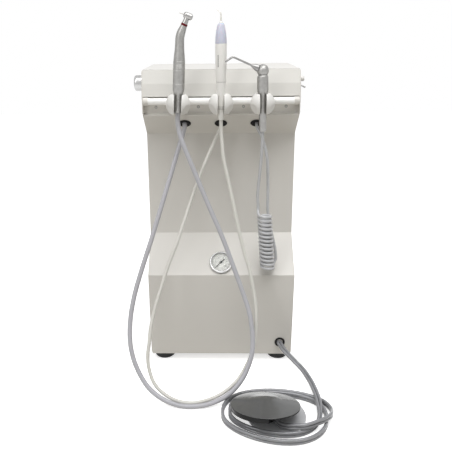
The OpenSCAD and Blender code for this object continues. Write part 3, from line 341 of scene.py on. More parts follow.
def turned(profile, sides=64):
    """A closed turned shape from (radius, height) points."""
    shape = bmesh.new()
    corners = [shape.verts.new((max(r, 0.0), 0, z)) for r, z in profile]
    line = [shape.edges.new(pair) for pair in zip(corners, corners[1:])]
    bmesh.ops.spin(shape, geom=corners + line, cent=(0, 0, 0), axis=(0, 0, 1), angle=2 * pi,
                   steps=sides, use_merge=True, use_duplicate=False)
    return welded(shape)


def joined(*shapes):
    # several shapes in one
    whole = shapes[0]
    for other in shapes[1:]:
        data = bpy.data.meshes.new("part")
        other.to_mesh(data)
        other.free()
        whole.from_mesh(data)
        bpy.data.meshes.remove(data)
    return whole


def moved(shape, matrix):
    bmesh.ops.transform(shape, matrix=matrix, verts=shape.verts)
    return shape


def pulled(shape, grown, way):
    # moves what an extrusion has just made
    corners = [part for part in grown["geom"] if isinstance(part, bmesh.types.BMVert)]
    bmesh.ops.translate(shape, vec=way, verts=corners)


def block(x, y, z):
    # a box between two x, two y and two z values
    shape = bmesh.new()
    bmesh.ops.create_cube(shape, size=1.0)
    size = Matrix.Diagonal((x[1] - x[0], y[1] - y[0], z[1] - z[0], 1))
    middle = shift((x[0] + x[1]) / 2, (y[0] + y[1]) / 2, (z[0] + z[1]) / 2)
    return moved(shape, middle @ size)


def plate(outline, height):
    # a flat outline raised by height
    shape = bmesh.new()
    face = shape.faces.new([shape.verts.new((x, y, 0)) for x, y in outline])
    pulled(shape, bmesh.ops.extrude_face_region(shape, geom=[face]), (0, 0, height))
    return welded(shape)


def bent(shape, height, angle, reach):
    """Bends a shape that runs up Z about the point at height, over reach to each side of it."""
    pivot = Vector((0, 0, height))
    full = Matrix.Rotation(radians(angle), 3, "Y")
    start = Vector((0, 0, height - reach))
    end = pivot + full @ Vector((0, 0, reach))
    for vert in shape.verts:
        t = (vert.co.z - height + reach) / (2 * reach)
        if t >= 1:
            vert.co = pivot + full @ (vert.co - pivot)
        elif t > 0:
            middle = start * (1 - t) ** 2 + pivot * 2 * t * (1 - t) + end * t ** 2
            across = Matrix.Rotation(radians(angle * t), 3, "Y")
            vert.co = middle + across @ Vector((vert.co.x, vert.co.y, 0))
    return shape


def from_node(name, flat=1.0):
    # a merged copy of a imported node, in millimetres
    shape = bmesh.new()
    shape.from_mesh(nodes[name].data)
    bmesh.ops.remove_doubles(shape, verts=shape.verts, dist=0.00001)
    bmesh.ops.scale(shape, vec=(1 / MM, 1 / MM, 1 / MM), verts=shape.verts)
    if flat:
        bmesh.ops.dissolve_limit(shape, angle_limit=radians(flat), verts=shape.verts,
                                 edges=shape.edges)
    return shape


def temporary(shape):
    data = bpy.data.meshes.new("part")
    shape.to_mesh(data)
    shape.free()
    return linked("part", data)


def baked(piece):
    """The shape of a temporary piece, with its modifiers or its curve in it. The piece itself goes."""
    seen = piece.evaluated_get(bpy.context.evaluated_depsgraph_get())
    data = bpy.data.meshes.new_from_object(seen)
    shape = bmesh.new()
    shape.from_mesh(data)
    bpy.data.batch_remove((data, piece, piece.data))
    return shape


def without(shape, tool, crossing=False):
    """The shape with the tool's volume cut away; crossing allows for shapes that cross themselves."""
    base, cutter = temporary(shape), temporary(tool)
    cut = base.modifiers.new("cut", "BOOLEAN")
    cut.operation = "DIFFERENCE"
    cut.object = cutter
    cut.solver = "EXACT"
    cut.use_self = crossing
    rest = baked(base)
    bpy.data.batch_remove((cutter, cutter.data))
    return rest


# ---- hoses ----
HAND_HOSE_R = 5.0
SCALER_HOSE_R = 3.75
CURLY_R = 3.2
FOOT_TUBE_R = 3.4
hand_route = [(-88, -122, 584.4), (-88.8, -122.2, 566), (-85.5, -124.5, 543), (-77, -129, 518),
              (-54, -138, 461), (-26, -150, 394), (2, -164, 330), (26, -180, 267), (47, -198, 212),
              (60, -215, 173), (66, -233, 132), (65, -248, 102), (57, -261, 75), (40, -277, 47),
              (12, -292, 23), (-25, -302, 9), (-62, -306, 5.2), (-95, -303, 7), (-128, -295, 18),
              (-157, -282, 38), (-180, -263, 70), (-192, -247, 102), (-196, -232, 134),
              (-194, -215, 170), (-186, -197, 211), (-171, -179, 260), (-150, -158, 321),
              (-126, -132, 395), (-107, -111, 454), (-92, -92, 502), (-82, -79, 533),
              (-78.2, -71, 547), (-78, -62, 558.5)]
scaler_route = [(0, -122, 569.4), (0.2, -123, 550), (2.2, -127, 522), (6, -133, 488), (21, -145, 420),
                (36, -159, 350), (50, -172, 293), (60, -182, 262), (70, -198, 212), (74, -211, 172),
                (73, -223, 132), (66, -239, 97), (54, -252, 71), (36, -265, 45), (8, -279, 23.5),
                (-26, -290, 11), (-62, -296.5, 7), (-94, -293.5, 10), (-121, -286, 21),
                (-142, -277, 40), (-154, -262, 66), (-157, -251, 92), (-154, -240, 117),
                (-151, -226, 147), (-142, -209, 185), (-128, -191, 227), (-115, -177, 266),
                (-93, -160, 320), (-68, -133, 390), (-46, -112, 449), (-26, -94, 493), (-8, -78, 531),
                (-0.5, -71.5, 546.5), (0, -62, 558.5)]
syringe_route = [(85.5, -122, 545.4), (85.7, -122, 534), (84, -121, 486), (80, -119, 430),
                 (78.8, -117.5, 404)]
return_route = [(120, -119, 284), (112, -111, 320), (103, -105, 366), (102, -101, 420), (99, -94, 484),
                (88, -81, 525), (77.5, -71.5, 546.5), (77, -62, 558.5)]
foot_route = [(137.4, -123, 52), (137.8, -139, 51.6), (147, -160, 45.5), (165, -183, 36),
              (182, -206, 27), (193, -235, 21), (198, -262, 18.8), (200.4, -290, 18.4),
              (200.4, -306, 17.6), (199.6, -321, 14.4), (197.2, -336.5, 9.8)]
exit_route = [(210.5, -289, 7.2), (219, -301, 7.8), (223, -313, 9), (223.6, -325, 11.5),
              (221.6, -337, 15.4), (217, -348.5, 19.4), (209, -358, 21.4), (199, -365.5, 21.6),
              (187, -371.5, 21.4), (172.5, -378.4, 21.2), (157.5, -382.8, 20.9), (142.8, -380.5, 18.4),
              (128.5, -375.5, 14.2), (115, -367.5, 12.2), (105.2, -352.8, 12)]


def smooth(route, steps):
    # a smooth curve through the route's points
    p = [Vector(q) for q in route]
    last = len(p) - 1
    line = []
    for i in range(last):
        a, b, c, d = p[max(i - 1, 0)], p[i], p[i + 1], p[min(i + 2, last)]
        for k in range(steps):
            t = k / steps
            line.append(0.5 * (2 * b + (c - a) * t + (2 * a - 5 * b + 4 * c - d) * t * t
                               + (3 * b - a - 3 * c + d) * t * t * t))
    return line + [p[last]]


def hose_curve(name, line, radius, sides=6):
    curve = bpy.data.curves.new(name, "CURVE")
    curve.dimensions = "3D"
    curve.bevel_depth = radius * MM
    curve.bevel_resolution = sides
    curve.use_fill_caps = True
    spline = curve.splines.new("POLY")
    spline.points.add(len(line) - 1)
    for point, place in zip(spline.points, line):
        point.co = (*(place * MM), 1)
    return linked(name, curve)


def hose(name, line, radius, material, stands_for):
    piece = hose_curve(name, line, radius)
    piece.data.materials.append(material)
    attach(piece, "cabinet")
    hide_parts(*stands_for)
    return piece


CURLS = 14
CURL_R = 13.2
CURL_STEPS = 24
curl_top = Vector((93.5, -130, 368))
curl_low = Vector((102.5, -140, 243))
lead = 4 * CURLY_R


def curl_at(turn):
    angle = radians(180 + 360 * turn)
    middle = curl_top + (curl_low - curl_top) * turn / CURLS
    return middle + CURL_R * Vector((cos(angle), sin(angle), 0))


def curly_line():
    curl = [curl_at(k / CURL_STEPS) for k in range(int((CURLS - 0.5) * CURL_STEPS) + 1)]
    into, out = [], []
    for degrees in range(90, 0, -15):
        a = radians(degrees)
        into.append(curl[0] + lead * Vector((0, sin(a), 1 - cos(a))))
    for degrees in range(15, 105, 15):
        a = radians(degrees)
        out.append(curl[-1] + lead * Vector((0.5 * (1 - cos(a)), 1.35 * sin(a), 1 - cos(a))))
    straight = Vector((0, 0, 2 * CURLY_R))
    down = smooth(syringe_route + [into[0] + straight], 6)
    back = smooth([out[-1] + straight] + return_route, 6)
    return down + into + curl + out + back


hand_hose = hose("handpiece_hose_long", smooth(hand_route, 6), HAND_HOSE_R, blue_silicone,
                 ["handpiece_hose"])
scaler_hose = hose("scaler_hose_long", smooth(scaler_route, 6), SCALER_HOSE_R, white_silicone,
                   ["scaler_hose"])
syringe_hose = hose("syringe_hose_curly", curly_line(), CURLY_R, curly_plastic,
                    ["syringe_hose", "syringe_coil"])

# the pedal's hose: two tubes, side by side at the gland and one on the other on the floor
PAIR_HALF = FOOT_TUBE_R + 0.1
LOOPS = 1.83
LOOP_STEPS = 48


def loop_at(turn):
    # a flat spiral with full shoulders at its back
    angle = radians(-20 - 360 * turn)
    along, across = cos(angle), sin(angle)
    if across < 0:
        reach = (58.9 + 15.2 * turn) * across * (1 + 0.19 * along)
    else:
        reach = (58.5 + 11.8 * turn) * across ** 0.75 * (1 - 0.06 * along)
    return Vector((110.2 + (87 + 15 * turn) * along, -327.3 - 4.4 * turn + reach, FOOT_TUBE_R + PAIR_HALF))


def pair_line(line, uprights, side):
    moved_line = []
    for i, point in enumerate(line):
        ahead = (line[min(i + 1, len(line) - 1)] - line[max(i - 1, 0)]).normalized()
        across = ahead.cross(Vector((0, 0, 1))).normalized()
        over = across.cross(ahead)
        angle = radians(90 * uprights[i])
        moved_line.append(point + side * PAIR_HALF * (cos(angle) * across + sin(angle) * over))
    return moved_line


def foot_hose_lines():
    turns = round(LOOPS * LOOP_STEPS)
    loops = [loop_at(k / LOOP_STEPS) for k in range(turns + 1)]
    strand = smooth(foot_route + [loops[0]], 6)
    leaving = smooth([loops[-1]] + exit_route, 6)
    line = strand[:-1] + loops + leaving[1:]
    # the strand turns upright over the last 30% of its points
    last = len(strand) - 1
    uprights = [max(0.0, 1 - (1 - i / last) / 0.3) for i in range(last)]
    uprights += [1.0] * (len(line) - last)
    return line, uprights


def foot_hose_mesh():
    line, uprights = foot_hose_lines()
    shape = joined(*[baked(hose_curve("tube", pair_line(line, uprights, side), FOOT_TUBE_R, 4))
                     for side in (-1, 1)])
    bmesh.ops.scale(shape, vec=(1 / MM, 1 / MM, 1 / MM), verts=shape.verts)
    bmesh.ops.remove_doubles(shape, verts=shape.verts, dist=0.001)
    bmesh.ops.recalc_face_normals(shape, faces=shape.faces)
    return shape, line


foot_shape, foot_line = foot_hose_mesh()
foot_hose = finished("foot_hose_twin", foot_shape, foot_plastic, "cabinet",
                     ["foot_hose", "foot_coil"], sharp=50.0)

# ---- cabinet ----
SIDE_X = 165.0
SHEET = 2.0
INNER_X = SIDE_X - SHEET
BACK_Y = 131.0
BASE_Z = 20.0
TOP_Z = 667.0
BEND = 3.0
BEND_STEPS = 5
# the casing's outline from the side, as (y, z) points from the foot of the front
front_line = [(-131, BASE_Z), (-131, 224), (-48.5, 296), (-31, 528), (-94, 577)]
side_line = front_line + [(-94, 611), (-88, 640), (-77, TOP_Z), (BACK_Y, TOP_Z), (BACK_Y, BASE_Z)]
shell_line = front_line + [(-79, 577), (-79, 610.7)]
head_line = [(-67, 611), (-94, 611), (-88, 640), (-77.33, 666.2)]


def rounded(line):
    # (y, z) points with each bend as an arc
    points = [line[0]]
    for before, corner, after in zip(line, line[1:], line[2:]):
        a, c, b = Vector(before), Vector(corner), Vector(after)
        to_a, to_b = (a - c).normalized(), (b - c).normalized()
        half = to_a.angle(to_b) / 2
        reach = min(BEND / tan(half), 0.45 * (a - c).length, 0.45 * (b - c).length)
        centre = c + (to_a + to_b).normalized() * reach / cos(half)
        start = c + to_a * reach - centre
        end = c + to_b * reach - centre
        for k in range(BEND_STEPS + 1):
            points.append(tuple(centre + start.slerp(end, k / BEND_STEPS)))
    points.append(line[-1])
    return points


def bent_sheet(line, low_x, high_x):
    """A sheet that follows (y, z) points across the cabinet, its outer face to the front."""
    shape = bmesh.new()
    corners = [shape.verts.new((low_x, y, z)) for y, z in rounded(line)]
    edges = [shape.edges.new(pair) for pair in zip(corners, corners[1:])]
    pulled(shape, bmesh.ops.extrude_edge_only(shape, edges=edges), (high_x - low_x, 0, 0))
    bmesh.ops.recalc_face_normals(shape, faces=shape.faces)
    lowest = min(shape.faces, key=lambda face: face.calc_center_median().z)
    if lowest.normal.y > 0 or (abs(lowest.normal.y) < 0.1 and lowest.normal.z > 0):
        bmesh.ops.reverse_faces(shape, faces=shape.faces)
    return shape


def side_plate(low_x):
    shape = bmesh.new()
    corners = [shape.verts.new((low_x, y, z)) for y, z in rounded(side_line + side_line[:2])[1:-1]]
    face = shape.faces.new(corners)
    pulled(shape, bmesh.ops.extrude_face_region(shape, geom=[face]), (SHEET, 0, 0))
    return welded(shape, 0.01)


finished("front_sheet", bent_sheet(shell_line, -INNER_X, INNER_X), powder_coat, "cabinet",
         ["front_shell"], wall=SHEET, edge=0.35, sharp=25.0)
finished("head_front", bent_sheet(head_line, -INNER_X, INNER_X), head_coat_painted_light, "cabinet",
         ["head_panel"], wall=SHEET, edge=0.35, sharp=25.0)
finished("left_side", side_plate(-SIDE_X), powder_coat, "cabinet", ["left_side_panel"],
         edge=0.5, sharp=25.0)
finished("right_side", side_plate(INNER_X), powder_coat, "cabinet", ["right_side_panel"],
         edge=0.5, sharp=25.0)
# the top cover takes the darker copy of the casing paint, painted shade
finished("top_sheet", block((-INNER_X + 0.1, INNER_X - 0.1), (-74.7, BACK_Y - 0.2), (TOP_Z - SHEET, TOP_Z)),
         cover_coat_painted_shade, "cabinet", ["top_cover"], edge=0.5)


# ---- back ----
def back_hoods():
    # a formed hood over each vent slot
    hoods = bmesh.new()
    rows = [((20, 110), 80 + 16 * row) for row in range(7)]
    rows += [((-45, 45), z) for z in (578, 594)]
    for (x0, x1), z in rows:
        hood = bmesh.new()
        bmesh.ops.create_cube(hood, size=1.0)
        for vert in hood.verts:
            outer = vert.co.y > 0
            low = vert.co.z < 0
            vert.co.x = (x0 + x1) / 2 + copysign((x1 - x0) / 2 + (1 if outer else 3), vert.co.x)
            vert.co.y = BACK_Y + (2.3 if outer else -0.4)
            vert.co.z = z + (0.6 if low else (5.6 if outer else 8.4))
        bmesh.ops.bevel(hood, geom=hood.edges[:], offset=0.9, offset_type="OFFSET", segments=2,
                        profile=0.5, affect="EDGES", material=-1)
        joined(hoods, hood)
    return hoods


finished("back_sheet", from_node("rear_cover"), powder_coat, "cabinet", ["rear_cover"],
         edge=0.3)
finished("back_hoods", back_hoods(), powder_coat, "cabinet", sharp=40.0)


def screw_head():
    """A pan head with a cross recess, its seat at z = 0."""
    head = turned(eased([(0, 0), (3.4, 0), (3.4, 1.0), (2.4, 2.1), (0, 2.2)], 0.5), 32)
    cross = joined(block((-0.45, 0.45), (-1.9, 1.9), (1.1, 3)), block((-1.9, 1.9), (-0.45, 0.45), (1.1, 3)))
    return without(head, cross, crossing=True)


def casing_screws():
    # each head is turned a little further than the one before
    places = [facing(x, -79, 591, "X", 90) for x in (-137, -47.5, 47.5, 137)]
    places += [facing(side * 156, BACK_Y, z, "X", -90)
               for z in (50, 200, 356, 518, 631) for side in (-1, 1)]
    return joined(*[moved(screw_head(), place @ Matrix.Rotation(0.7 * number, 4, "Z"))
                    for number, place in enumerate(places)])


finished("casing_screw_heads", casing_screws(), zinc, "cabinet", ["casing_screws"],
         sharp=30.0)

# ---- feet ----
FOOT_PLACES = [(sx * 136, sy * 98) for sx in (-1, 1) for sy in (-1, 1)]
foot_profile = [(0, 6), (6, 6), (6, 0), (22, 0), (24, 2), (24.1, 3.0), (24.3, 4.4), (25.1, 11.5),
                (25.5, 12.2), (25.7, 13.8), (26, 17), (26, 20), (0, 20)]
rubber_feet = joined(*[moved(turned(eased(foot_profile, 0.7), 48), shift(x, y, 0)) for x, y in FOOT_PLACES])
finished("rubber_feet_ribbed", rubber_feet, black_rubber, "cabinet", ["rubber_feet"])

# ---- rail and brackets ----
RAIL_Y, RAIL_Z, RAIL_R, RAIL_END = -100.0, 605.0, 7.0, 161.0
rail_profile = [(0, -RAIL_END), (RAIL_R - 1, -RAIL_END), (RAIL_R, -RAIL_END + 1),
                (RAIL_R, RAIL_END - 1), (RAIL_R - 1, RAIL_END), (0, RAIL_END)]
finished("rail_tube", turned(rail_profile, 48), rail_enamel, "cabinet", ["holder_rail"],
         place=facing(0, RAIL_Y, RAIL_Z, "Y", 90))
finished("rail_ends", from_node("rail_brackets"), powder_coat, "cabinet", ["rail_brackets"],
         edge=0.8, steps=3)


# ---- ball holders ----
def ball_holder(name, place_name):
    """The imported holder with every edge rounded, as moulded."""
    piece = temporary(from_node(place_name, flat=0))
    piece.data.transform(Matrix.Scale(MM, 4))
    skin = piece.modifiers.new("skin", "REMESH")
    skin.mode = "VOXEL"
    skin.voxel_size = 0.55 * MM
    ease = piece.modifiers.new("ease", "SMOOTH")
    ease.factor = 0.5
    ease.iterations = 14
    shape = baked(piece)
    bmesh.ops.scale(shape, vec=(1 / MM, 1 / MM, 1 / MM), verts=shape.verts)
    return finished(name, shape, gloss_white, "cabinet", [place_name], sharp=180.0)


for holder in ("handpiece", "scaler", "syringe"):
    ball_holder(f"{holder}_ball", f"{holder}_holder")


# ---- glands ----
def gland(radius, bore, tail):
    return turned(eased([(bore + 0.3, -tail), (radius - 2, -tail), (radius - 2, 0), (radius, 0),
                         (radius, 1.2), (radius - 1.2, 2.3), (radius - 3.2, 2.3), (radius - 4.6, 0.7),
                         (bore + 1.0, 0.35), (bore + 0.3, 0.35), (bore + 0.3, -tail)], 0.3), 48)


# the three glands stand square on the slanted underside
hose_glands = joined(*[moved(gland(13.5, bore, 6), facing(x, -65.02, 554.46, "X", 142.13))
                       for x, bore in ((-78, HAND_HOSE_R), (0, SCALER_HOSE_R), (77, CURLY_R))])
finished("hose_glands", hose_glands, gland_rubber, "cabinet", ["hose_grommets"])
finished("foot_hose_gland", gland(12, FOOT_TUBE_R + PAIR_HALF, 8), gland_rubber, "cabinet",
         ["foot_hose_grommet"], place=facing(137.4, -131, 52, "X", 90))

# ---- pressure gauge ----
gauge_place = facing(0, -107.27, 244.71, "X", 41.11)
DIAL_R = 23.5
case_profile = [(0, -24), (23.5, -24), (23.5, 0), (26.5, 0), (26.5, 3.6), (26.1, 5.4), (25.1, 6.7),
                (24.0, 7.0), (22.9, 6.6), (22.4, 5.9), (23.55, 5.8), (23.55, 0.5), (0, 0.5)]
finished("gauge_bezel", turned(eased(case_profile, 0.3), 96), bright_chrome, "cabinet",
         ["gauge_case"], place=gauge_place)
wall_profile = [(23.4, 1.5), (21.9, 1.5), (22.2, 4.5), (23.4, 4.5), (23.4, 1.5)]
finished("gauge_wall", turned(wall_profile, 96), gauge_shade, "cabinet", place=gauge_place)
dial_profile = [(0, 0.5), (DIAL_R, 0.5), (DIAL_R, 1.5), (0, 1.5)]
finished("gauge_face", turned(dial_profile, 64), dial_paint, "cabinet", ["gauge_dial"],
         place=gauge_place)
glass_profile = [(0, 4.6), (DIAL_R, 4.6), (DIAL_R, 5.8), (0, 5.8)]
finished("gauge_window", turned(glass_profile, 64), glass, "cabinet", ["gauge_glass"],
         place=gauge_place, edge=0.2)


def written(word, height, place):
    # plain figures, as a flat shape
    curve = bpy.data.curves.new("figure", "FONT")
    curve.body = word
    curve.size = height
    curve.align_x = "CENTER"
    curve.align_y = "CENTER"
    curve.extrude = 0.03
    curve.resolution_u = 3
    return moved(baked(linked("figure", curve)), place)


def gauge_scale():
    """Ticks and plain numbers round the dial, zero at the lower left."""
    whole = bmesh.new()
    for tick in range(51):
        long_one = tick % 10 == 0
        middle_one = tick % 5 == 0
        inner = 16.6 if long_one else (17.6 if middle_one else 18.4)
        half = 0.32 if long_one else (0.22 if middle_one else 0.12)
        turn = rotation(135 - 270 * tick / 50, "Z")
        joined(whole, moved(block((-half, half), (inner, 20.4), (1.5, 1.56)), turn))
    for number in range(6):
        angle = radians(225 - 270 * number / 5)
        place = shift(13.0 * cos(angle), 13.0 * sin(angle), 1.53)
        joined(whole, written(str(2 * number), 4.6, place))
    return whole


finished("gauge_scale", gauge_scale(), scale_ink, "cabinet", place=gauge_place)
hub_profile = [(0, 1.0), (0.9, 1.0), (0.9, 2.2), (3, 2.2), (3, 3.2), (1.2, 3.9), (0, 3.9)]
needle_hub = turned(eased(hub_profile, 0.3), 32)
needle_hand = moved(plate([(-1.2, -10.5), (1.2, -10.5), (0.75, -3), (0.55, 4), (0.25, 18.6), (-0.25, 18.6),
                           (-0.55, 4), (-0.75, -3)], 0.7),
                    rotation(135, "Z") @ shift(0, 0, 2.2))
finished("gauge_hand", joined(needle_hub, needle_hand), needle_paint, "needle",
         ["gauge_needle"], place=gauge_place, edge=0.12)

# ---- side controls ----
knob_profile = [(0, -14), (4, -14), (4, 0), (14.8, 0), (15.4, 1.0), (16.3, 1.4), (16.5, 2.0), (16.5, 13.6),
                (16.1, 15.2), (15.2, 16.8), (12.5, 18.3), (8.6, 18.9), (4, 18.4), (0, 18.3)]
finished("regulator_cap", turned(eased(knob_profile, 0.6), 96), turned_chrome, "regulator_knob",
         ["regulator_knob"], place=facing(-165.6, -50, 638, "Y", -90))
button_profile = [(0, -10), (2.5, -10), (2.5, 0), (5.3, 0), (5.3, 9.5), (4.6, 10.6), (3.6, 11), (0, 11)]
finished("water_cap", turned(eased(button_profile, 0.4), 48), gloss_white, "water_knob",
         ["water_knob"], place=facing(165.6, -50, 644.4, "Y", 90))
lever_profile = [(0, -1.7), (1, -1.4), (1.7, -0.5), (1.7, 0.5), (1.2, 1.5), (1.2, 3), (1.9, 13.5),
                 (1.9, 14.5), (1.4, 15.4), (0, 15.9)]
finished("toggle_stick", turned(eased(lever_profile, 0.5), 32), polished_steel, "toggle_lever",
         ["toggle_lever"], place=facing(165, -56, 633.4, "Y", 115))
# the thin six-sided nut that the toggle comes through
nut_profile = [(2.9, -1), (4.6, -1), (4.6, 0.5), (2.9, 0.5), (2.9, -1)]
toggle_nut = moved(turned(eased(nut_profile, 0.2), 6), facing(165, -56, 633.4, "Y", 90))
finished("toggle_nut", toggle_nut, zinc, "cabinet", edge=0.15)


# ---- handpiece ----
LEANS = (3.0, 0.0, -1.2)
STANDS = (-87.0, 0.0, 84.3)
STAND_Y, STAND_Z = -122, 602


def in_holder(which):
    return facing(STANDS[which], STAND_Y, STAND_Z, "Y", LEANS[which])


BEND_Z, HEAD_OUT = 131.0, 39.6
at_neck = in_holder(0) @ facing(0, 0, BEND_Z, "Y", 21)
at_head = at_neck @ facing(0, 0, HEAD_OUT, "Y", -94)


def ringed(radius, low, high, pitch, depth):
    # fine grooves on a stretch of a turned profile
    points = []
    z = low
    while z + pitch <= high:
        points += [(radius, z), (radius, z + 0.55 * pitch), (radius - depth, z + 0.7 * pitch),
                   (radius - depth, z + 0.85 * pitch)]
        z += pitch
    return points + [(radius, high)]


coupling_profile = ([(0, -17), (7.3, -17), (8.3, -16)] + ringed(8.3, -14, -8, 1.5, 0.25)
                    + [(8.3, 6.5), (8.0, 6.8), (8.0, 7.6), (8.3, 7.9), (8.3, 15), (0, 15)])
finished("coupling_steel", turned(eased(coupling_profile, 0.25, 2)), satin_steel, "handpiece",
         ["handpiece_coupling"], place=in_holder(0))
motor_profile = ([(0, 15), (8.5, 15), (8.7, 15.3), (9.4, 20), (11.3, 27), (11.8, 30), (11.8, 40),
                  (11.55, 40.3), (11.55, 41.2), (11.8, 41.5), (11.8, 66), (11.5, 66.4), (11.5, 67.2),
                  (11.8, 67.6)]
                 + ringed(11.8, 70, 79, 1.8, 0.3) + [(11.8, 83), (11.4, 84), (0, 84)])
finished("motor_steel", turned(eased(motor_profile, 0.35, 2), 80), satin_steel, "handpiece",
         ["handpiece_motor"], place=in_holder(0))
angle_profile = [(0, 84), (11.4, 84), (11.5, 84.6), (11.0, 90), (10.5, 96), (9.7, 103), (9.2, 110),
                 (8.9, 118), (8.75, 125), (8.6, 131), (8.3, 137), (7.6, 143), (6.7, 148), (6.15, 151.5),
                 (6.0, 152), (0, 152)]
finished("contra_angle", bent(turned(dense(angle_profile, 2.0), 80), BEND_Z, 21, 8), satin_steel, "handpiece",
         ["handpiece_body"], place=in_holder(0), sharp=60.0)
ring_profile = [(0, 20.4), (6.3, 20.4), (6.4, 20.7), (6.4, 24.0), (6.3, 24.3), (0, 24.3)]
finished("red_ring", turned(eased(ring_profile, 0.15, 2)), red_enamel, "handpiece",
         ["handpiece_ring"], place=at_neck)
neck_profile = [(0, 23.6), (5.9, 23.6), (5.7, 26), (5.3, 31), (5.0, 35), (5.0, 39.6), (0, 39.6)]
# the head has a well for its button
head_profile = [(0, -4), (4.55, -4), (4.55, -8), (5.4, -8), (6.1, -7.4), (6.2, -6.6), (6.2, -5.4),
                (6.0, -5.1), (6.0, -4.6), (6.2, -4.2), (6.2, 4.2), (5.9, 5.4), (4.9, 7.0), (3.8, 8), (0, 8)]
head_shape = joined(moved(turned(eased(neck_profile, 0.3, 2), 48), at_neck),
                    moved(turned(eased(head_profile, 0.35, 2), 64), at_head))
finished("angle_head", head_shape, polished_steel, "handpiece", ["handpiece_head"])
press_profile = [(0, -10), (2.9, -10), (3.9, -9.5), (4.3, -8.7), (4.3, -6.6), (0, -6.6)]
finished("chuck_cap", turned(eased(press_profile, 0.3), 48), polished_steel, "chuck_button",
         ["chuck_button"], place=at_head)


def bur_shape():
    # a shank and a fluted tapered tip
    shank = turned([(0, -3), (0.8, -3), (0.8, 9.6), (0.55, 10.2), (0.55, 11.4), (0, 11.4)], 24)
    tip = turned([(0, 11.2), (0.62, 11.2), (0.78, 11.8), (0.78, 14.2), (0.5, 17), (0, 17)], 24)
    for vert in tip.verts:
        angle = atan2(vert.co.y, vert.co.x) + 0.35 * vert.co.z
        flute = 1 - 0.14 * (0.5 + 0.5 * cos(6 * angle))
        vert.co.x *= flute
        vert.co.y *= flute
    return joined(shank, tip)


finished("bur_fluted", bur_shape(), bur_steel, "bur", ["bur"], place=at_head)

# ---- scaler ----
tail_profile = [(0, -32), (4.6, -32), (5.3, -31.4), (5.5, -30.6), (5.55, -26), (5.75, -12), (5.8, -10),
                (6.6, -9.9), (6.8, -9.5), (6.8, -7.9), (6.45, -7.7), (6.45, -7.1), (6.8, -6.9), (6.8, -5.5),
                (6.5, -5.1), (0, -5)]
finished("scaler_collar", turned(eased(tail_profile, 0.2, 2)), sleeve_plastic, "scaler",
         ["scaler_tail"], place=in_holder(1))


def scaler_rings():
    whole = bmesh.new()
    for low, radius in ((-10.2, 6.9), (-7.9, 6.86), (-5.4, 6.95), (43.15, 9.8)):
        high = low + 0.45
        joined(whole, turned([(5.5, low), (radius, low), (radius, high), (5.5, high), (5.5, low)], 48))
    return whole


finished("scaler_seals", scaler_rings(), mark_grey, "scaler", place=in_holder(1))
sleeve_profile = [(0, -5), (6.7, -5), (6.9, -4.6), (6.95, -0.6), (6.7, -0.4), (6.7, 0.1), (6.95, 0.3),
                  (7.0, 4), (7.1, 12), (7.5, 19), (8.2, 26), (9.0, 34.5), (9.7, 42.4), (9.8, 43),
                  (9.5, 43.15), (9.5, 43.5), (9.85, 43.65), (10.5, 58), (11.2, 76), (11.4, 96),
                  (11.5, 115.5), (11.3, 116), (0, 116)]
finished("scaler_grip", turned(eased(sleeve_profile, 0.3, 2), 80), sleeve_plastic, "scaler",
         ["scaler_sleeve"], place=in_holder(1))
cone_profile = [(0, 116), (11.2, 116), (11.5, 116.4), (11.45, 119), (11.27, 123.5), (10.8, 129),
                (10.12, 134.75), (9.2, 140.5), (8.05, 146), (7.0, 149.6), (5.85, 152.2), (5.2, 153.2),
                (4.4, 153.5), (0, 153.5)]
finished("scaler_nose", turned(eased(cone_profile, 0.8), 80), lilac_plastic, "scaler",
         ["scaler_cone"], place=in_holder(1))


def scaler_mark():
    # a plain inlaid line down the left of the grip
    mark = block((-0.6, 0.6), (-0.3, 0.3), (72, 95))
    return moved(mark, rotation(-30, "Z") @ shift(0, -11.2, 0))


finished("scaler_line", scaler_mark(), mark_grey, "scaler", place=in_holder(1), edge=0.1)
tip_profile = dense([(0, 0), (3, 0), (3, 1.6), (2.4, 2.5), (1.9, 2.8), (1.3, 18.5), (0.5, 28.1), (0.2, 28.5),
                     (0, 28.5)], 0.6)
finished("scaler_point", bent(turned(tip_profile, 32), 18.1, -52, 3.0), tip_steel, "scaler",
         ["scaler_tip"], place=in_holder(1) @ shift(0, 0, 153.5), sharp=60.0)

# ---- syringe ----
BALL_Z, BALL_R = 64.5, 12.0
at_ball = in_holder(2) @ shift(0, 0, BALL_Z)
at_nozzle = at_ball @ rotation(12, "Z") @ rotation(-65, "Y")


def ball_outline(start, end, steps=24):
    # part of the ball's outline, by angle up from its equator
    angles = [radians(start + (end - start) * k / steps) for k in range(steps + 1)]
    return [(BALL_R * cos(a), BALL_Z + BALL_R * sin(a)) for a in angles]


body_profile = [(0, -56), (6.6, -56), (7.3, -55.6), (7.5, -54.8), (7.5, -49.0), (7.3, -48.8), (7.3, -48.2),
                (7.5, -48.0), (7.5, 8), (7.8, 12), (8.9, 17.5), (10.3, 22.5), (11.2, 27.5), (11.2, 50),
                (10.8, 53), (9.6, 55.4), (8.6, 56.2)]
finished("syringe_handle", turned(eased(body_profile, 0.6, 2) + ball_outline(-43, 90), 80), satin_steel,
         "syringe", ["syringe_body"], place=in_holder(2), sharp=40.0)
nozzle_profile = dense([(0, 7.3), (5.5, 7.3), (5.5, 11), (7.1, 11), (7.0, 12.5), (6.2, 15.5), (4.6, 20),
                        (3.2, 23.6), (2.6, 25), (1.95, 25.6), (1.9, 84), (1.6, 84.6), (1.0, 84.6),
                        (0.9, 84), (0.9, 83), (0, 83)], 1.2)
finished("nozzle_tube", bent(turned(nozzle_profile, 40), 67, -55, 3.6), nozzle_steel, "nozzle",
         ["syringe_nozzle"], place=at_nozzle, sharp=40.0)


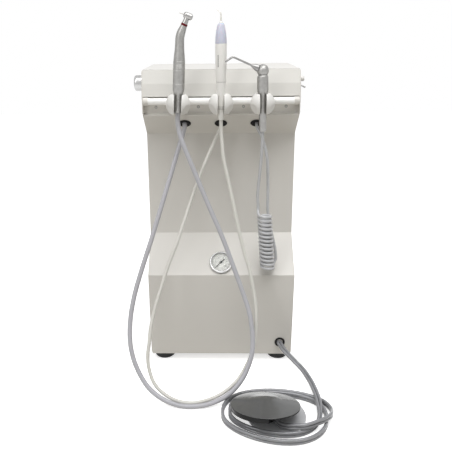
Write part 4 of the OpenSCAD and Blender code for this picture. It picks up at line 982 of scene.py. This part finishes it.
def press_button(name, side, stands_for, body):
    place = (at_ball @ rotation(65, "Z") @ shift(0, side * 4.2, 0)
             @ rotation(90, "Y") @ shift(0, 0, 9.3))
    cap = [(0, 0), (3.2, 0), (3.2, 4.8), (2.9, 5.7), (2.1, 6.2), (1.0, 6.0), (0, 5.9)]
    finished(name, turned(eased(cap, 0.3), 40), polished_steel, body, [stands_for], place=place)


press_button("air_cap", -1, "air_button", "air_button")
press_button("water_press", 1, "water_button", "water_button")

# ---- foot pedal ----
DISC_X, DISC_Y, DISC_Z, DISC_R = 87.5, -340.0, 19.0, 70.0
PIVOT_Y, PIVOT_Z = -279.5, 12.5
DISC_TILT = -16
EAR_OUT, EAR_WIDE, EAR_R = 12, 3, 3.5
opened = facing(0, PIVOT_Y, PIVOT_Z, "X", DISC_TILT) @ shift(0, -PIVOT_Y, -PIVOT_Z)


def pedal_disc():
    """A turned steel cone with a rim that is cut away where the hose leaves, and its two ears."""
    upper = [(0, 15), (2.5, 15), (5.6, 14.85), (10, 14.1), (15.4, 12.9), (25, 10.4), (35, 7.8), (49, 5.0),
             (61, 2.35), (68.7, 0.5), (69.7, 0.0), (70, -0.8), (70, -9.0), (69.7, -9.2), (68.9, -9.2),
             (68.5, -8.8), (68.5, -1.6), (61, 0.8), (49, 3.5), (35, 6.3), (15.4, 11.4), (5.6, 13.3),
             (0, 13.5)]
    dish = moved(turned(eased(upper, 1.0, 2), 128), shift(DISC_X, DISC_Y, DISC_Z))
    reach = 2 * DISC_R
    notch = plate([(0, 0), (0, -reach), (reach, -reach), (reach, 0.3 * DISC_R)], 8.0)
    moved(notch, shift(DISC_X, DISC_Y, DISC_Z - 10))
    shape = without(dish, notch)
    for side in (-1, 1):
        low = DISC_X + side * EAR_OUT - EAR_WIDE / 2
        ear = turned([(2.05, 0), (EAR_R, 0), (EAR_R, EAR_WIDE), (2.05, EAR_WIDE), (2.05, 0)], 32)
        joined(shape, moved(ear, facing(low, PIVOT_Y, PIVOT_Z, "Y", 90)),
               block((low, low + EAR_WIDE), (PIVOT_Y - EAR_R, PIVOT_Y + EAR_R),
                     (PIVOT_Z + 2.6, DISC_Z + 0.9)))
    return shape


disc_cone = finished("disc_cone", pedal_disc(), disc_steel, "pedal", ["pedal_disc"],
                     place=opened, sharp=28.0)
disc_cone.data.materials.append(rim_painted_reflection)
disc_axis = opened @ Vector((DISC_X, DISC_Y, DISC_Z))
for polygon in disc_cone.data.polygons:
    # the turned-down rim gets the near-black steel, a painted dark reflection of the floor beneath it
    if (opened.to_3x3().inverted() @ (polygon.center / MM - disc_axis)).to_2d().length > DISC_R - 0.35:
        polygon.material_index = 1
finished("pedal_plate", from_node("pedal_base"), pedal_plastic, "cabinet", ["pedal_base"],
         edge=1.2, steps=3)
finished("pedal_valve_block", from_node("pedal_valve"), black_plastic, "cabinet",
         ["pedal_valve"], edge=0.6)

# ---- mains inlet and switch ----
finished("inlet_frame", from_node("power_inlet"), black_plastic, "cabinet", ["power_inlet"],
         edge=0.4)
finished("switch_rocker", from_node("power_switch"), black_plastic, "rocker",
         ["power_switch"], edge=0.4)

# ---- what stays as packed ----
for kept, material in (("base_tray", powder_coat), ("foot_screws", zinc), ("inner_shelves", grey_anodised),
                       ("valve_bodies", grey_anodised), ("pedal_pin", zinc), ("pedal_spring", spring_steel),
                       ("compressor", cast_metal), ("compressor_mounts", black_rubber),
                       ("air_tank", tank_paint), ("water_bottle", bottle_plastic),
                       ("control_block", grey_anodised), ("scaler_board", board_laminate)):
    nodes[kept].data.materials.clear()
    nodes[kept].data.materials.append(material)


# ---- studio ----
def background_rays(tree):
    # 1 for the rays that show the plain background: straight, mirrored or through glass
    path = node(tree, "LightPath")
    seen = path.outputs["Is Camera Ray"]
    for kind in ("Is Glossy Ray", "Is Transmission Ray"):
        either = node(tree, "Math")
        either.operation = "MAXIMUM"
        tree.links.new(seen, either.inputs[0])
        tree.links.new(path.outputs[kind], either.inputs[1])
        seen = either.outputs[0]
    return seen


FLOOR_SIZE = 4000
FLOOR_GLOW = 0.62
ROOM_STRENGTH = 0.9


def floor_material():
    material, tree, body = shader("studio_floor")
    preset(body, {"Roughness": 0.9, "Specular IOR Level": 0.1, "Emission Color": (1, 1, 1, 1)})
    seen = background_rays(tree)
    glow = node(tree, "Math", {1: FLOOR_GLOW})
    glow.operation = "MULTIPLY"
    tree.links.new(seen, glow.inputs[0])
    tree.links.new(glow.outputs[0], body.inputs["Emission Strength"])
    shade = mixed(tree, seen, (0.60, 0.575, 0.525), (0.9, 0.9, 0.9))
    tree.links.new(shade, body.inputs["Base Color"])
    return material


def studio():
    shape = bmesh.new()
    bmesh.ops.create_grid(shape, x_segments=1, y_segments=1, size=FLOOR_SIZE)
    bmesh.ops.scale(shape, vec=(MM, MM, MM), verts=shape.verts)
    data = bpy.data.meshes.new("studio_floor")
    shape.to_mesh(data)
    shape.free()
    data.materials.append(floor_material())
    linked("studio_floor", data)
    world = bpy.data.worlds.new("studio")
    bpy.context.scene.world = world
    world.use_nodes = True
    tree = world.node_tree
    tree.nodes.clear()
    out = node(tree, "OutputWorld")
    seen = background_rays(tree)
    place = node(tree, "TexCoord")
    split = node(tree, "SeparateXYZ")
    tree.links.new(place.outputs["Generated"], split.inputs["Vector"])
    # the room: darker at eye level, bright overhead
    ramp = node(tree, "ValToRGB")
    ramp.color_ramp.elements[0].position = 0.0
    ramp.color_ramp.elements[0].color = (0.20, 0.20, 0.195, 1)
    ramp.color_ramp.elements[1].position = 1.0
    ramp.color_ramp.elements[1].color = (0.95, 0.95, 0.95, 1)
    middle = ramp.color_ramp.elements.new(0.45)
    middle.color = (0.24, 0.24, 0.235, 1)
    tree.links.new(split.outputs["Z"], ramp.inputs["Fac"])
    room = node(tree, "Background", {"Strength": ROOM_STRENGTH})
    tree.links.new(ramp.outputs["Color"], room.inputs["Color"])
    white = node(tree, "Background", {"Color": (1, 1, 1, 1), "Strength": 1.0})
    mix = node(tree, "MixShader")
    tree.links.new(seen, mix.inputs["Fac"])
    tree.links.new(room.outputs[0], mix.inputs[1])
    tree.links.new(white.outputs[0], mix.inputs[2])
    tree.links.new(mix.outputs[0], out.inputs["Surface"])


def softbox(name, place, aim, size, power):
    data = bpy.data.lights.new(name, "AREA")
    data.shape = "RECTANGLE"
    data.size, data.size_y = size
    data.energy = power
    lamp = linked(name, data)
    look = (Vector(aim) - Vector(place)).to_track_quat("-Z", "Y")
    lamp.matrix_world = Matrix.Translation(place) @ look.to_matrix().to_4x4()


studio()
softbox("front_left", (-1.3, -1.5, 1.8), (0, -0.1, 0.35), (0.7, 1.3), 11.6)
softbox("overhead", (0.3, -0.7, 2.2), (0, -0.1, 0.3), (1.6, 1.2), 26)
bpy.context.scene.view_settings.view_transform = "Standard"
